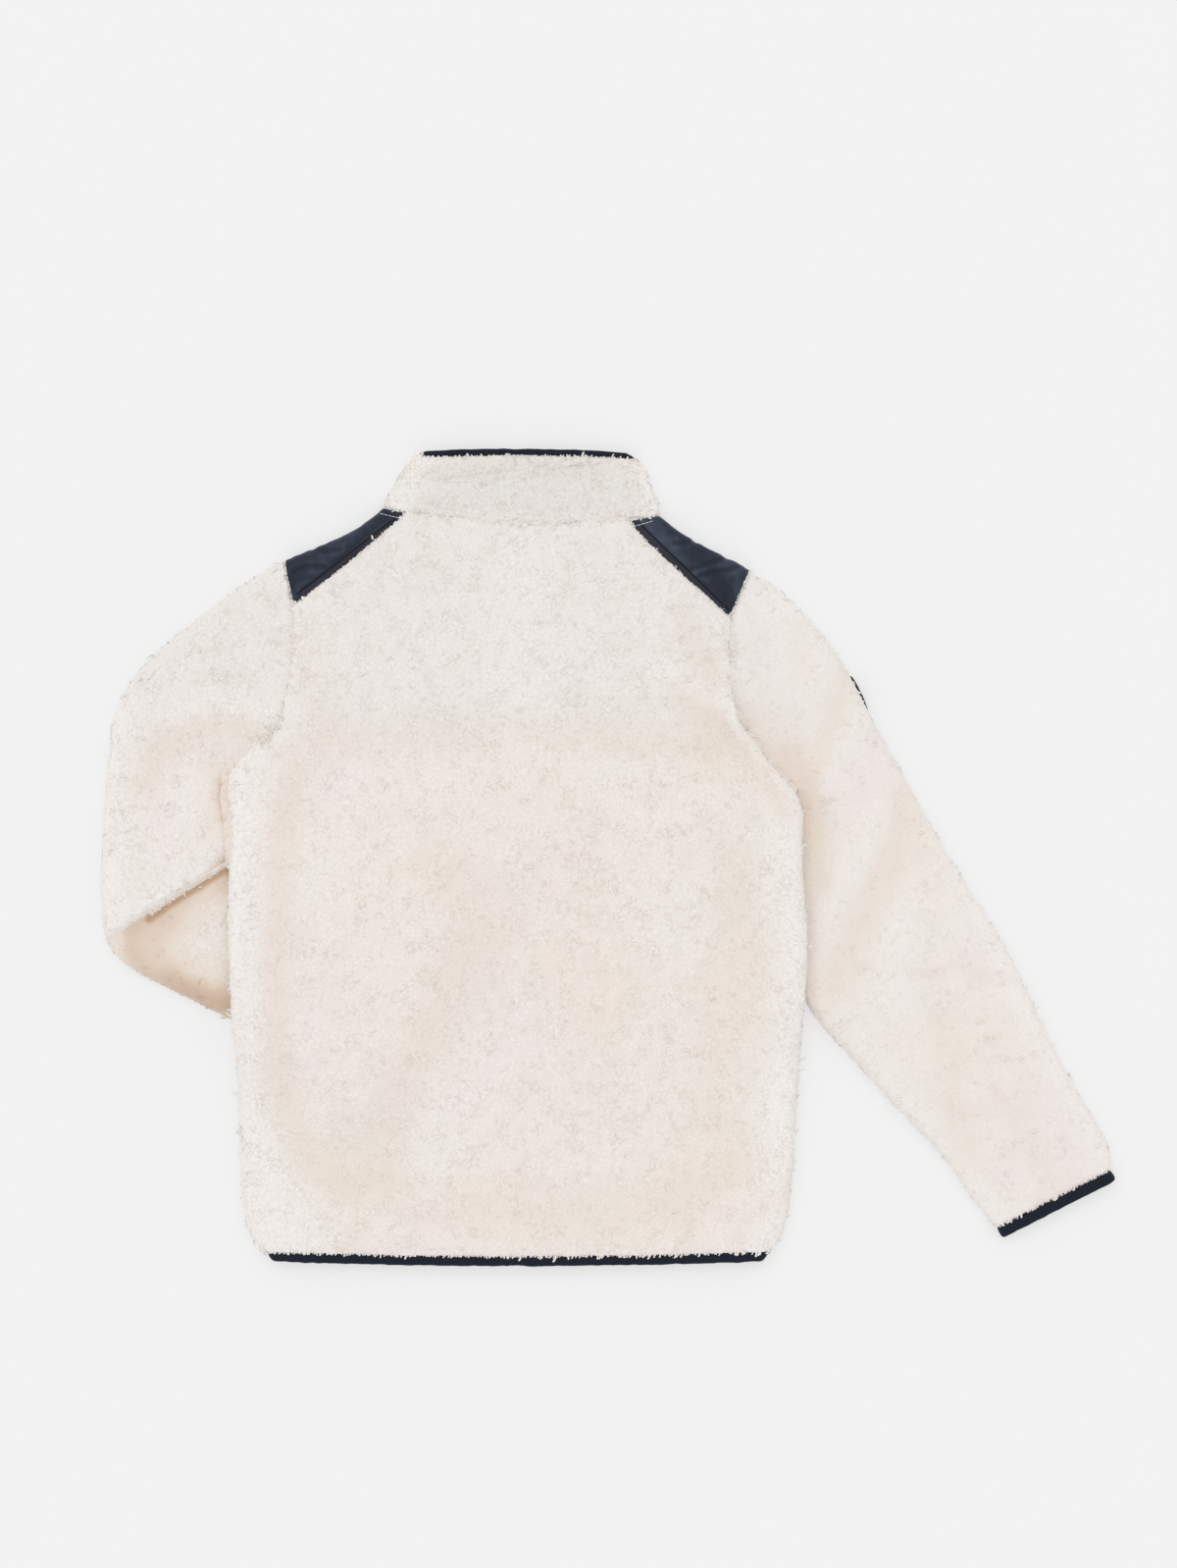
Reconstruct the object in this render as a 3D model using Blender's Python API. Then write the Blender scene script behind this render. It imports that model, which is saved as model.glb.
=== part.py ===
"""A child's pile fleece jacket, zipped up and laid flat with its back upwards.

The sleeve on +X lies stretched out, the sleeve on -X is bent at the elbow and
its forearm goes under the body. Every sewn piece is a wall of its real
thickness. All figures here are millimetres; x runs across the jacket, y from
hem to collar and z up from the floor that it lies on.
"""

import bmesh
import bpy
import numpy as np

# ---------------------------------------------------------------- driving sizes
FLEECE = 6.0  # pile fleece with its pile
WOVEN = 1.2  # shoulder yoke cloth
BODY = 14.6  # both walls of the body as they lie on each other
SLEEVE = 15.6  # both walls of a sleeve
PRESSED = 12.7  # a sleeve where the body lies on it
COLLAR = 13.6
CUFF = 13.0
SEAM = 0.4  # between the edges of two sewn pieces
SEAM_DIP = 1.2  # how far a seam is drawn into the pile
CENTRE_X = -67.0  # centre front, where the zip is
ZIP_OPENING = 12.0  # between the edges of the fronts
TAPE = 0.8  # zip tape
ROLL = np.radians([0, 32, 62, 90])  # the points round half of a folded edge
ACROSS = [0, 0.09, 0.2, 0.34, 0.52, 0.74, 0.965, 1]  # columns from a side to the zip
LEFT_EDGE, RIGHT_EDGE = CENTRE_X - ZIP_OPENING / 2, CENTRE_X + ZIP_OPENING / 2

# Body from hem to neck: the ends of each row across, how far each end is rolled
# (1 at a side fold, 0 at a sewn edge) and how far the middle hangs below them.
BODY_ROWS = [
    # left x, left y, right x, right y, left roll, right roll, hang
    (-254.0, -289.3, 120.5, -289.3, 1, 1, 3.6),
    (-262.5, -282.5, 128.0, -282.5, 1, 1, 2.6),
    (-268.5, -267.0, 132.5, -267.0, 1, 1, 1.4),
    (-271.5, -242.0, 136.0, -242.0, 1, 1, 0.4),
    (-272.0, -210.0, 138.0, -210.0, 1, 1, 0.0),
    (-272.5, -177.0, 140.0, -177.0, 1, 1, 0.0),
    (-274.0, -148.0, 142.0, -148.0, 1, 1, 0.0),
    (-276.5, -120.0, 144.0, -120.0, 1, 1, 0.0),
    (-278.0, -91.0, 146.0, -91.0, 1, 1, 0.0),
    (-279.0, -62.0, 147.0, -66.0, 1, 1, 0.0),
    (-279.0, -33.0, 145.5, -38.0, 1, 1, 0.0),
    (-278.5, -6.0, 143.0, -10.0, 1, 1, 0.0),
    (-277.6, 17.0, 142.5, 13.0, 1, 1, 0.0),
    (-279.0, 31.0, 144.0, 29.0, 1, 1, 0.0),
    (-282.0, 42.0, 142.0, 40.0, 1, 1, 0.0),
    (-283.3, 53.0, 137.0, 50.0, 1, 1, 0.0),
    (-281.0, 62.0, 128.5, 59.0, 1, 1, 0.0),
    (-275.5, 70.0, 120.5, 67.0, 1, 1, 0.0),
]
# From the armpit the rows end on the armholes, then on the yokes.
ARMPIT_RIGHT = [(114.5, 75.5), (112.0, 80.0), (108.5, 85.5), (103.0, 91.0), (98.5, 95.5)]
ARMHOLE_LEFT = [(-269.6, 75.6), (-260.5, 80.2), (-251.6, 85.8), (-244.5, 94.5), (-240.0, 106.0),
                (-236.5, 120.0), (-233.6, 135.0), (-231.6, 151.0), (-231.0, 168.0), (-231.4, 183.2),
                (-233.8, 195.6), (-236.9, 206.0), (-238.4, 218.6)]
ARMHOLE_RIGHT = [(119.0, 10.0), (115.5, 27.0), (109.0, 52.0), (101.0, 82.0), (96.0, 99.5),
                 (92.6, 109.0), (90.6, 121.0), (89.4, 134.0), (88.7, 148.0), (88.7, 161.5), (89.5, 174.6),
                 (95.5, 190.0), (101.5, 203.0), (105.0, 210.8)]
# Distances along an armhole at which rows of the body end on it.
YOKE_LEFT = [
    # seam x, seam y, fold x, fold y
    (-231.4, 183.2, -238.4, 218.6),
    (-219.0, 193.5, -224.5, 223.6),
    (-206.0, 203.6, -209.5, 230.2),
    (-183.0, 222.2, -190.0, 238.0),
    (-163.0, 239.4, -175.5, 248.4),
    (-146.0, 253.8, -165.0, 257.4),
]
YOKE_RIGHT = [
    (89.5, 174.6, 105.0, 210.8),
    (80.5, 183.6, 93.5, 217.2),
    (63.5, 198.8, 80.5, 223.8),
    (42.0, 218.4, 62.5, 233.0),
    (25.0, 234.8, 47.0, 243.8),
    (13.6, 247.8, 37.5, 251.6),
]
NECK_HANG = [0, 0, 0, 0, 2.0, 5.0]

SLEEVE_RIGHT_OUTER = [(105.0, 210.8), (118.0, 203.5), (130.0, 194.0), (142.0, 182.0), (156.0, 166.0),
                      (170.0, 149.0), (181.0, 129.0), (191.0, 108.0), (205.0, 84.0), (219.0, 58.0),
                      (235.0, 29.0), (250.0, 3.5), (268.0, -26.0), (285.0, -52.5), (300.0, -79.5),
                      (312.0, -105.0), (326.0, -135.5), (341.0, -164.5), (356.0, -188.5),
                      (368.0, -207.0), (372.3, -219.0), (371.0, -228.7)]
SLEEVE_RIGHT_INNER = [(119.0, 10.0), (121.0, -5.0), (125.0, -30.0), (131.0, -58.0), (137.0, -85.0),
                      (143.5, -106.5), (156.0, -124.5), (171.0, -141.0), (188.0, -158.5), (207.0, -179.5),
                      (226.0, -200.0), (243.0, -216.5), (256.0, -233.5), (270.0, -255.0), (284.5, -272.6)]
SLEEVE_LEFT_OUTER = [(-238.4, 218.6), (-253.0, 212.5), (-271.5, 199.0), (-290.0, 185.0), (-310.2, 169.5),
                     (-334.0, 149.0), (-352.4, 132.6), (-361.5, 118.5), (-366.0, 92.0), (-369.5, 58.0),
                     (-372.2, 20.0), (-373.4, -12.0), (-373.4, -37.0), (-371.8, -54.5)]
SLEEVE_LEFT_INNER = [(-269.6, 75.6), (-276.6, 70.4), (-282.2, 62.0), (-284.5, 53.0), (-283.2, 42.0),
                     (-280.2, 31.0), (-279.0, 17.0), (-279.4, 4.0)]
# The bent elbow and the forearm: outer end, inner end and height of each ring.
FOREARM = [
    # outer x, outer y, inner x, inner y, height
    (-371.8, -54.5, -279.4, 1.5, 20.0),
    (-370.4, -58.5, -279.4, -1.6, 20.4),
    (-368.6, -62.6, -279.2, -3.6, 14.6),
    (-365.6, -68.6, -278.4, -5.4, 14.4),
    (-356.0, -80.0, -275.0, -7.0, 15.4),
    (-340.0, -89.0, -266.0, -10.5, 15.8),
    (-318.0, -100.0, -254.0, -15.5, 15.2),
    (-294.0, -112.5, -240.0, -21.5, 13.6),
    (-262.0, -127.5, -219.0, -31.0, 13.2),
    (-226.0, -143.5, -187.0, -46.0, 13.2),
    (-193.0, -157.5, -154.0, -59.0, 13.2),
    (-166.0, -167.0, -128.0, -67.5, 13.2),
]
COLLAR_ROWS = [
    # left x, left y, right x, right y, hang
    (-165.4, 258.6, 38.8, 252.6, 9.3),
    (-164.0, 262.6, 38.0, 257.6, 8.6),
    (-158.6, 273.0, 33.8, 269.8, 4.4),
    (-152.6, 284.6, 28.8, 282.6, 0.6),
    (-145.2, 293.0, 23.6, 291.8, -2.2),
]
# Folds pressed into the upper side: points along each, height and half width.
BODY_FOLDS = [
    ([(-261, -262), (-263, -150), (-266, 0), (-268, 55)], 2.6, 13),
    ([(126, -262), (130, -120), (130, 0), (124, 40)], 2.6, 13),
    ([(-236, -10), (-236, -100), (-234, -200), (-205, -225), (-168, -232)], -2.0, 15),
    ([(-115, -5), (-100, -50), (-118, -113), (-148, -161), (-168, -205)], -2.1, 17),
    ([(-130, -170), (-108, -243)], 2.2, 20),
    ([(-170, -20), (-160, -100), (-176, -150)], 1.6, 30),
    ([(92, 0), (92, -60), (96, -110)], -2.0, 15),
    ([(-235, 84), (-120, 86), (-5, 84)], -1.9, 18),
    ([(-190, 132), (40, 140)], 1.0, 32),
    ([(-190, 30), (80, 28)], 1.4, 34),
    ([(20, 158), (72, 134)], -1.9, 13),
    ([(40, 140), (80, 112), (104, 84), (128, 52)], 3.0, 13),
    ([(70, -252), (100, -262), (134, -280)], -1.9, 13),
    ([(-44, -19), (0, -110), (14, -199)], 1.2, 42),
    ([(-258, -205), (-226, -250), (-212, -276)], 1.8, 15),
    ([(-188, -268), (-186, -292)], -1.6, 10),
]
SLEEVE_FOLDS = [
    ([(182, 96), (166, 72), (150, 48)], 2.6, 12),
    ([(205, 33), (184, 4), (160, -38)], 2.6, 13),
    ([(216, -30), (217, -70), (214, -116)], 2.6, 14),
    ([(218, 44), (207, -5), (178, -64)], -2.0, 12),
    ([(132, 80), (146, 50)], -2.0, 12),
    ([(228, -80), (262, -90), (300, -94)], -1.6, 9),
    ([(262, -150), (292, -196)], 1.6, 16),
    ([(300, -160), (334, -206)], -1.5, 11),
    ([(246, -190), (282, -238)], -1.5, 11),
    ([(-330, 108), (-290, 106), (-246, 98)], 2.6, 13),
    ([(-335, 130), (-300, 130), (-244, 126)], -2.0, 12),
    ([(-330, 72), (-312, 50), (-293, 36)], -2.0, 17),
    ([(-300, 26), (-292, 8)], 1.6, 13),
    ([(-350, 30), (-352, -30)], 1.6, 16),
]
# Where something lies under the body: convex outlines, the height it lifts the
# body by and the distance over which the cloth comes down to the floor.
LIFTS = [
    ([(-300, 2), (-113, -60), (-152, -181), (-300, -122)], 14.3, 33),
    ([(97, 99), (118, 8), (143, -108), (175, -108), (175, 99)], 13.5, 34),
]


# ---------------------------------------------------------------------- helpers
def smooth(known, values, at):
    """Values between the known ones along a smooth curve through them."""
    known, values = np.asarray(known, float), np.asarray(values, float)
    at = np.asarray(at, float)
    slope = np.gradient(values, known, axis=0)
    i = np.clip(np.searchsorted(known, at) - 1, 0, len(known) - 2)
    h = known[i + 1] - known[i]
    t = (at - known[i]) / h
    if values.ndim > 1:
        t, h = t[..., None], h[..., None]
    return ((1 + 2 * t) * (1 - t) ** 2 * values[i] + t * (1 - t) ** 2 * h * slope[i]
            + t * t * (3 - 2 * t) * values[i + 1] + t * t * (t - 1) * h * slope[i + 1])


def lengths(points):
    steps = np.linalg.norm(np.diff(np.asarray(points, float), axis=0), axis=1)
    return np.concatenate([[0], np.cumsum(steps)])


def along(points, distance):
    """The point at each distance along a smooth curve through these points."""
    return smooth(lengths(points), points, distance)


def to_line(points, x, y):
    """Distance in plan from each x, y to an open line."""
    nearest = np.full(np.shape(x), 1e9)
    for (ax, ay), (bx, by) in zip(points, points[1:]):
        dx, dy = bx - ax, by - ay
        t = np.clip(((x - ax) * dx + (y - ay) * dy) / (dx * dx + dy * dy), 0, 1)
        nearest = np.minimum(nearest, np.hypot(x - ax - t * dx, y - ay - t * dy))
    return nearest


def outside(points, x, y):
    """Distance in plan by which each x, y lies outside a clockwise convex outline."""
    beyond = np.full(np.shape(x), -1e9)
    for (ax, ay), (bx, by) in zip(points, points[1:] + points[:1]):
        dx, dy = bx - ax, by - ay
        side = ((x - ax) * dy - (y - ay) * dx) / np.hypot(dx, dy)
        beyond = np.maximum(beyond, -side)
    return beyond


def ease(t):
    t = np.clip(t, 0, 1)
    return t * t * (3 - 2 * t)


def folds(table, x, y):
    return sum(height * np.exp(-(to_line(line, x, y) / width) ** 2) for line, height, width in table)


def lift(x, y):
    """Height of the underside of the body over the floor."""
    found = np.zeros(np.shape(x))
    for outline, height, reach in LIFTS:
        centre = np.mean(outline, axis=0)
        turn = outline if outside(outline, *centre) < 0 else outline[::-1]
        found = np.maximum(found, height * ease(1 - (outside(turn, x, y) - 3) / reach))
    return found


def body_height(x, y):
    room = 0.5 + 1.4 * np.exp(-(((x - CENTRE_X) / 24) ** 2))  # more over the zip
    return np.maximum(BODY + folds(BODY_FOLDS, x, y), 2 * FLEECE + room)


# ------------------------------------------------------------------- the meshes
def material(name, colour, roughness):
    made = bpy.data.materials.new(name)
    made.use_nodes = True
    node = made.node_tree.nodes["Principled BSDF"]
    node.inputs["Base Color"].default_value = (*colour, 1)
    node.inputs["Roughness"].default_value = roughness
    made.diffuse_color = (*colour, 1)
    return made


def solid(name, points, faces, look):
    """A closed mesh from points in millimetres."""
    mesh = bpy.data.meshes.new(name)
    mesh.from_pydata((np.asarray(points) / 1000).tolist(), [], faces)
    work = bmesh.new()
    work.from_mesh(mesh)
    bmesh.ops.recalc_face_normals(work, faces=work.faces)
    work.to_mesh(mesh)
    work.free()
    mesh.materials.append(look)
    made = bpy.data.objects.new(name, mesh)
    bpy.context.scene.collection.objects.link(made)
    return made


def wall(name, outer, inner, look, ring=False):
    """A wall between two grids of points; a ring's columns close on themselves."""
    outer, inner = np.asarray(outer), np.asarray(inner)
    rows, cols = outer.shape[:2]
    points = np.concatenate([outer.reshape(-1, 3), inner.reshape(-1, 3)])
    o = lambda i, j: i * cols + j % cols
    n = lambda i, j: rows * cols + i * cols + j % cols
    last = cols if ring else cols - 1
    faces = []
    for i in range(rows - 1):
        for j in range(last):
            for at in (o, n):
                faces.append((at(i, j), at(i, j + 1), at(i + 1, j + 1)))
                faces.append((at(i, j), at(i + 1, j + 1), at(i + 1, j)))
    for j in range(last):
        faces.append((o(0, j), n(0, j), n(0, j + 1), o(0, j + 1)))
        faces.append((o(rows - 1, j), o(rows - 1, j + 1), n(rows - 1, j + 1), n(rows - 1, j)))
    if not ring:
        for i in range(rows - 1):
            faces.append((o(i, 0), o(i + 1, 0), n(i + 1, 0), n(i, 0)))
            faces.append((o(i, cols - 1), n(i, cols - 1), n(i + 1, cols - 1), o(i + 1, cols - 1)))
    return solid(name, points, faces, look)


def bead(name, sections, look, ring=False):
    """A solid swept through equal sections of points."""
    sections = np.asarray(sections)
    count, corners = sections.shape[:2]
    p = lambda i, j: (i % count) * corners + j % corners
    faces = [(p(i, j), p(i, j + 1), p(i + 1, j + 1), p(i + 1, j))
             for i in range(count if ring else count - 1) for j in range(corners)]
    if not ring:
        faces += [tuple(p(0, j) for j in range(corners)), tuple(p(count - 1, j) for j in range(corners))]
    return solid(name, sections.reshape(-1, 3), faces, look)


def box(name, low, high, look):
    corners = [(x, y, z) for x in (low[0], high[0]) for y in (low[1], high[1]) for z in (low[2], high[2])]
    return solid(name, corners, [(0, 1, 3, 2), (4, 6, 7, 5), (0, 4, 5, 1), (2, 3, 7, 6), (0, 2, 6, 4), (1, 5, 7, 3)], look)


# ----------------------------------------------------------------------- stations
def stations(points, rolled, middle):
    """Points on an armhole curve, from its armpit end: three close ones that a
    folded edge needs, then the given ones."""
    total = lengths(points)[-1]
    near = rolled * (1 - np.cos(ROLL))
    at = np.concatenate([near, middle, total - near[::-1]])
    return along(points, at)


LEFT_AT = [18.5, 29.5, 42.0, 56.0, 71.5, 87.5, 104.5]
left_total, right_total = lengths(ARMHOLE_LEFT), lengths(ARMHOLE_RIGHT)
left_tip, right_tip = left_total[9], right_total[10]
seam_left = along(ARMHOLE_LEFT, np.concatenate([BODY / 2 * (1 - np.cos(ROLL)), np.linspace(18, left_tip, 9)]))
seam_right = along(ARMHOLE_RIGHT, np.linspace(right_total[4], right_tip, 8))
end_left = along(ARMHOLE_LEFT, np.concatenate([[left_tip + 14], left_total[-1] - BODY / 2 * (1 - np.cos(ROLL[::-1]))]))
end_right = along(ARMHOLE_RIGHT, np.concatenate([[right_tip + 16], right_total[-1] - BODY / 2 * (1 - np.cos(ROLL[::-1]))]))
hidden_right = along(ARMHOLE_RIGHT, np.concatenate([BODY / 2 * (1 - np.cos(ROLL)), [28, 50, 72]]))


def body_rows():
    rows = [list(row) for row in BODY_ROWS]
    rights = [(*p, 1) for p in ARMPIT_RIGHT] + [(*p, 0) for p in seam_right]
    lefts = [(*p, roll) for p, roll in zip(seam_left, [1, 0.5, 0.15] + [0] * 10)]
    for (lx, ly, lroll), (rx, ry, rroll) in zip(lefts, rights):
        rows.append([lx, ly, rx, ry, lroll, rroll, 0])
    for left, right, hang in zip(YOKE_LEFT[1:], YOKE_RIGHT[1:], NECK_HANG[1:]):
        rows.append([left[0], left[1], right[0], right[1], 0, 0, hang])
    return rows


def body_section(row, share):
    """Points across one row of the body: plan, upper side and underside, each
    outside and inside of its wall. share runs from 0 at the left edge to 1."""
    lx, ly, rx, ry, lroll, rroll, hang = row
    width = rx - lx
    y_of = lambda x: ly + (ry - ly) * (x - lx) / width - hang * 4 * (x - lx) * (rx - x) / width ** 2
    upper, upper_in, under, under_in = [], [], [], []
    for kind, value in share:
        if kind in ("left half", "right half"):
            side, middle = (lx + 12, LEFT_EDGE) if kind == "left half" else (rx - 12, RIGHT_EDGE)
            x = side + (middle - side) * value
            y = y_of(x)
            low, high = lift(x, y), lift(x, y) + body_height(x, y)
            upper.append((x, y, high)), upper_in.append((x, y, high - FLEECE))
            under.append((x, y, low)), under_in.append((x, y, low + FLEECE))
            continue
        sign, edge, roll = (1, lx, lroll) if kind == "left" else (-1, rx, rroll)
        inner_x = edge + sign * BODY / 2
        y = y_of(inner_x)
        low, half = float(lift(inner_x, y)), float(body_height(inner_x, y)) / 2
        thin = half - FLEECE
        sewn = low + 2 * half - SEAM_DIP * (1 - value / ROLL[-1]) ** 2
        for made, reach, up in ((upper, half, 1), (upper_in, thin, 1), (under, half, -1), (under_in, thin, -1)):
            folded_x = edge + sign * (half - reach * np.cos(value))
            folded_z = low + half + up * (reach * np.sin(value) + SEAM / 2 * np.cos(value))
            sewn_x = edge + sign * (half * (1 - np.cos(value)))
            depth = 0 if reach == half else FLEECE
            sewn_z = sewn - depth if up > 0 else low + depth
            x = roll * folded_x + (1 - roll) * sewn_x
            made.append((x, y_of(x), roll * folded_z + (1 - roll) * sewn_z))
    return upper, upper_in, under, under_in


def body_grids(share):
    grids = [body_section(row, share) for row in body_rows()]
    return [np.array([g[k] for g in grids], float) for k in range(4)]


# ------------------------------------------------------------------------ clearing
for thing in list(bpy.data.objects):
    bpy.data.objects.remove(thing)

fleece = material("Pile fleece", (0.84, 0.80, 0.76), 0.95)
navy_woven = material("Navy woven cloth", (0.026, 0.034, 0.055), 0.7)
navy_band = material("Navy knitted binding", (0.018, 0.024, 0.036), 0.8)
navy_tape = material("Navy zip tape", (0.018, 0.024, 0.036), 0.75)
coil = material("Navy zip coil", (0.02, 0.026, 0.04), 0.45)
metal = material("Dark zip metal", (0.05, 0.055, 0.065), 0.4)

# ---------------------------------------------------------------------------- body
roll_in = [("left", a) for a in ROLL]
roll_out = [("right", a) for a in ROLL[::-1]]
left_half = roll_in + [("left half", t) for t in ACROSS]
right_half = [("right half", t) for t in ACROSS[::-1]] + roll_out
upper, upper_in, _, _ = body_grids(left_half + right_half)
wall("back", upper, upper_in, fleece)
fronts = {}
for name, half in (("front_left", left_half), ("front_right", right_half)):
    _, _, under, under_in = body_grids(half)
    fronts[name] = under_in
    wall(name, under, under_in, fleece)


# -------------------------------------------------------------------------- sleeves
def sleeve_height(x, y, base, pressed_to):
    """Height of a sleeve at x, y, pressed down where the body lies on it."""
    high = np.maximum(base + folds(SLEEVE_FOLDS, x, y), 2 * FLEECE + 0.4)
    return pressed_to(x, y, high)


def press_right(x, y, high):
    edge_y = [row[3] for row in BODY_ROWS] + [p[1] for p in ARMPIT_RIGHT]
    edge_x = [row[2] for row in BODY_ROWS] + [p[0] for p in ARMPIT_RIGHT]
    beyond = x - np.interp(y, edge_y, edge_x)
    covered = ease((101 - y) / 6) * ease((y + 118) / 14)
    room = PRESSED + (high - PRESSED) * ease((beyond - 1) / 26)
    return high + (np.minimum(high, room) - high) * covered


def press_left(x, y, high):
    near = outside([(-300, 0), (-100, -60), (-150, -190), (-300, -130)][::-1], x, y)
    near = np.maximum(-x - 281, 0) if near is None else -x - 281
    covered = ease((-1 - y) / 5)
    room = PRESSED + 0.5 + (high - PRESSED - 0.5) * ease(near / 22)
    return high + (np.minimum(high, room) - high) * covered


def sleeve(name, first, rings, bases, pressed_to):
    """A flattened tube: its first ring follows the armhole, and every other one
    lies straight between its outer and inner end."""
    first = np.asarray(first)
    gaps = lengths(first)
    parts = gaps / gaps[-1]
    bend = first - (first[0] + (first[-1] - first[0]) * parts[:, None])
    edge = len(ROLL) - 1
    angle = np.full(len(first), ROLL[-1])
    angle[:edge + 1], angle[-edge - 1:] = ROLL, ROLL[::-1]
    total = len(rings) - 1
    outer_rows, inner_rows = [], []
    for i, ((start, end), base) in enumerate(zip(rings, bases)):
        start, end = np.asarray(start, float), np.asarray(end, float)
        width = np.linalg.norm(end - start)
        unit = (end - start) / width
        normal_gap = SEAM if i == 0 else 0
        near = start + unit * 8
        half = float(sleeve_height(*near, base, pressed_to)) / 2
        far = end - unit * 8
        half_far = float(sleeve_height(*far, base, pressed_to)) / 2
        fade = max(0, 1 - i / (0.42 * total)) ** 2
        middle_parts = (parts[edge:-edge] - parts[edge]) / (parts[-edge - 1] - parts[edge])
        distance = {False: [], True: []}
        for inside in (False, True):
            reach = FLEECE if inside else 0
            begin = half - (half - reach) * np.cos(ROLL)
            finish = width - half_far + (half_far - reach) * np.cos(ROLL[::-1])
            mid = half + (width - half - half_far) * middle_parts
            distance[inside] = np.concatenate([begin, mid[1:-1], finish])
        ring = {}
        for inside in (False, True):
            plan = start + unit * distance[inside][:, None] + bend * fade
            if i == 0:
                plan = first.copy()
                if inside:
                    for k in range(edge + 1):
                        shift = distance[True][k] - distance[False][k]
                        plan[k] = along(first, gaps[k] + shift)
                        plan[-k - 1] = along(first, gaps[-k - 1] - shift)
            high = sleeve_height(plan[:, 0], plan[:, 1], base, pressed_to)
            high[:edge + 1], high[-edge - 1:] = 2 * half, 2 * half_far
            centre = high / 2
            reach = centre - (FLEECE if inside else 0)
            top = centre + reach * np.sin(angle)
            low = centre - reach * np.sin(angle)
            ring[inside] = np.concatenate([np.column_stack([plan, top]),
                                           np.column_stack([plan, low])[::-1][1:-1]])
        outer_rows.append(ring[False]), inner_rows.append(ring[True])
    outer_rows, inner_rows = np.array(outer_rows), np.array(inner_rows)
    return outer_rows, inner_rows


def paired(outer, inner, count, power):
    """Ring ends along the outer and inner edge; the inner ones start slower."""
    share = np.linspace(0, 1, count)
    share[-2] = 0.3 * share[-3] + 0.7  # one close to the end, for the gathered cuff
    return (along(outer, lengths(outer)[-1] * share),
            along(inner, lengths(inner)[-1] * share ** power))


gap_right, gap_left = np.array([SEAM + 0.1, 0.05]), np.array([-SEAM - 0.1, 0.05])
first_right = np.concatenate([hidden_right, seam_right[1:], end_right])[::-1] + gap_right
starts, ends = paired(SLEEVE_RIGHT_OUTER, SLEEVE_RIGHT_INNER, 19, 1.55)
rings = [(a + gap_right * (i == 0), b + gap_right * (i == 0)) for i, (a, b) in enumerate(zip(starts, ends))]
bases = smooth([0, 2, 5, 14, 18], [BODY - SEAM_DIP, SLEEVE, SLEEVE + 1.4, SLEEVE, CUFF], range(19))
right_outer, right_inner = sleeve("sleeve_right", first_right, rings, bases, press_right)
wall("sleeve_right", right_outer, right_inner, fleece, ring=True)

first_left = np.concatenate([seam_left, end_left])[::-1] + gap_left
starts, ends = paired(SLEEVE_LEFT_OUTER, SLEEVE_LEFT_INNER, 11, 1.5)
rings = [(a + gap_left * (i == 0), b + gap_left * (i == 0)) for i, (a, b) in enumerate(zip(starts, ends))]
bases = list(smooth([0, 2, 6, 10], [BODY - SEAM_DIP, SLEEVE, SLEEVE + 1.6, 19.6], range(11)))
rings += [((r[0], r[1]), (r[2], r[3])) for r in FOREARM[1:]]
bases += [r[4] for r in FOREARM[1:]]
left_outer, left_inner = sleeve("sleeve_left", first_left, rings, bases, press_left)
wall("sleeve_left", left_outer, left_inner, fleece, ring=True)


# ---------------------------------------------------------------------------- yokes
def yoke(name, rows, end, sign):
    """A thin wall folded over the shoulder, from the seam on the back, round the
    fold and under to the seam on the front. Its first section follows the armhole."""
    outer_rows, inner_rows, seam_rows = [], [], []
    for i, (sx, sy, fx, fy) in enumerate(rows):
        seam, fold = np.array([sx, sy]), np.array([fx, fy])
        width = np.linalg.norm(fold - seam)
        unit = (fold - seam) / width
        high = body_height(sx, sy) - SEAM_DIP - 0.2
        half = float(high) / 2
        outer, inner = [], []
        for inside in (False, True):
            reach = half - (WOVEN if inside else 0)
            flat = np.linspace(SEAM, width - half, 4)[:-1]
            at = np.concatenate([flat, width - half + reach * np.cos(ROLL[::-1])])
            plan = seam + unit * at[:, None]
            if i == 0:
                plan = along(end, lengths(end)[-1] / width * at)
            z = np.concatenate([np.full(3, reach), reach * np.sin(ROLL[::-1])])
            top = np.column_stack([plan, half + z])
            low = np.column_stack([plan, half - z])[::-1][1:]
            (inner if inside else outer).extend(np.concatenate([top, low]))
        outer_rows.append(outer), inner_rows.append(inner)
    return np.array(outer_rows), np.array(inner_rows)


def inset_rows(rows, first, last):
    """Draws the first and last section of a piece in from its neighbours."""
    rows = rows.copy()
    for end, step, distance in ((0, 1, first), (-1, -1, last)):
        way = rows[end + step] - rows[end]
        rows[end] += way / np.linalg.norm(way[:, :2], axis=1)[:, None] * distance * [1, 1, 0]
    return rows


tip_left = np.concatenate([[seam_left[-1]], end_left])
tip_right = np.concatenate([[seam_right[-1]], end_right])
yokes = {}
for name, table, end in (("yoke_left", YOKE_LEFT, tip_left), ("yoke_right", YOKE_RIGHT, tip_right)):
    outer, inner = yoke(name, table, end, 1)
    yokes[name] = inset_rows(outer, 0.1, 0.6), inset_rows(inner, 0.1, 0.6)
    wall(name, *yokes[name], navy_woven)

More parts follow.
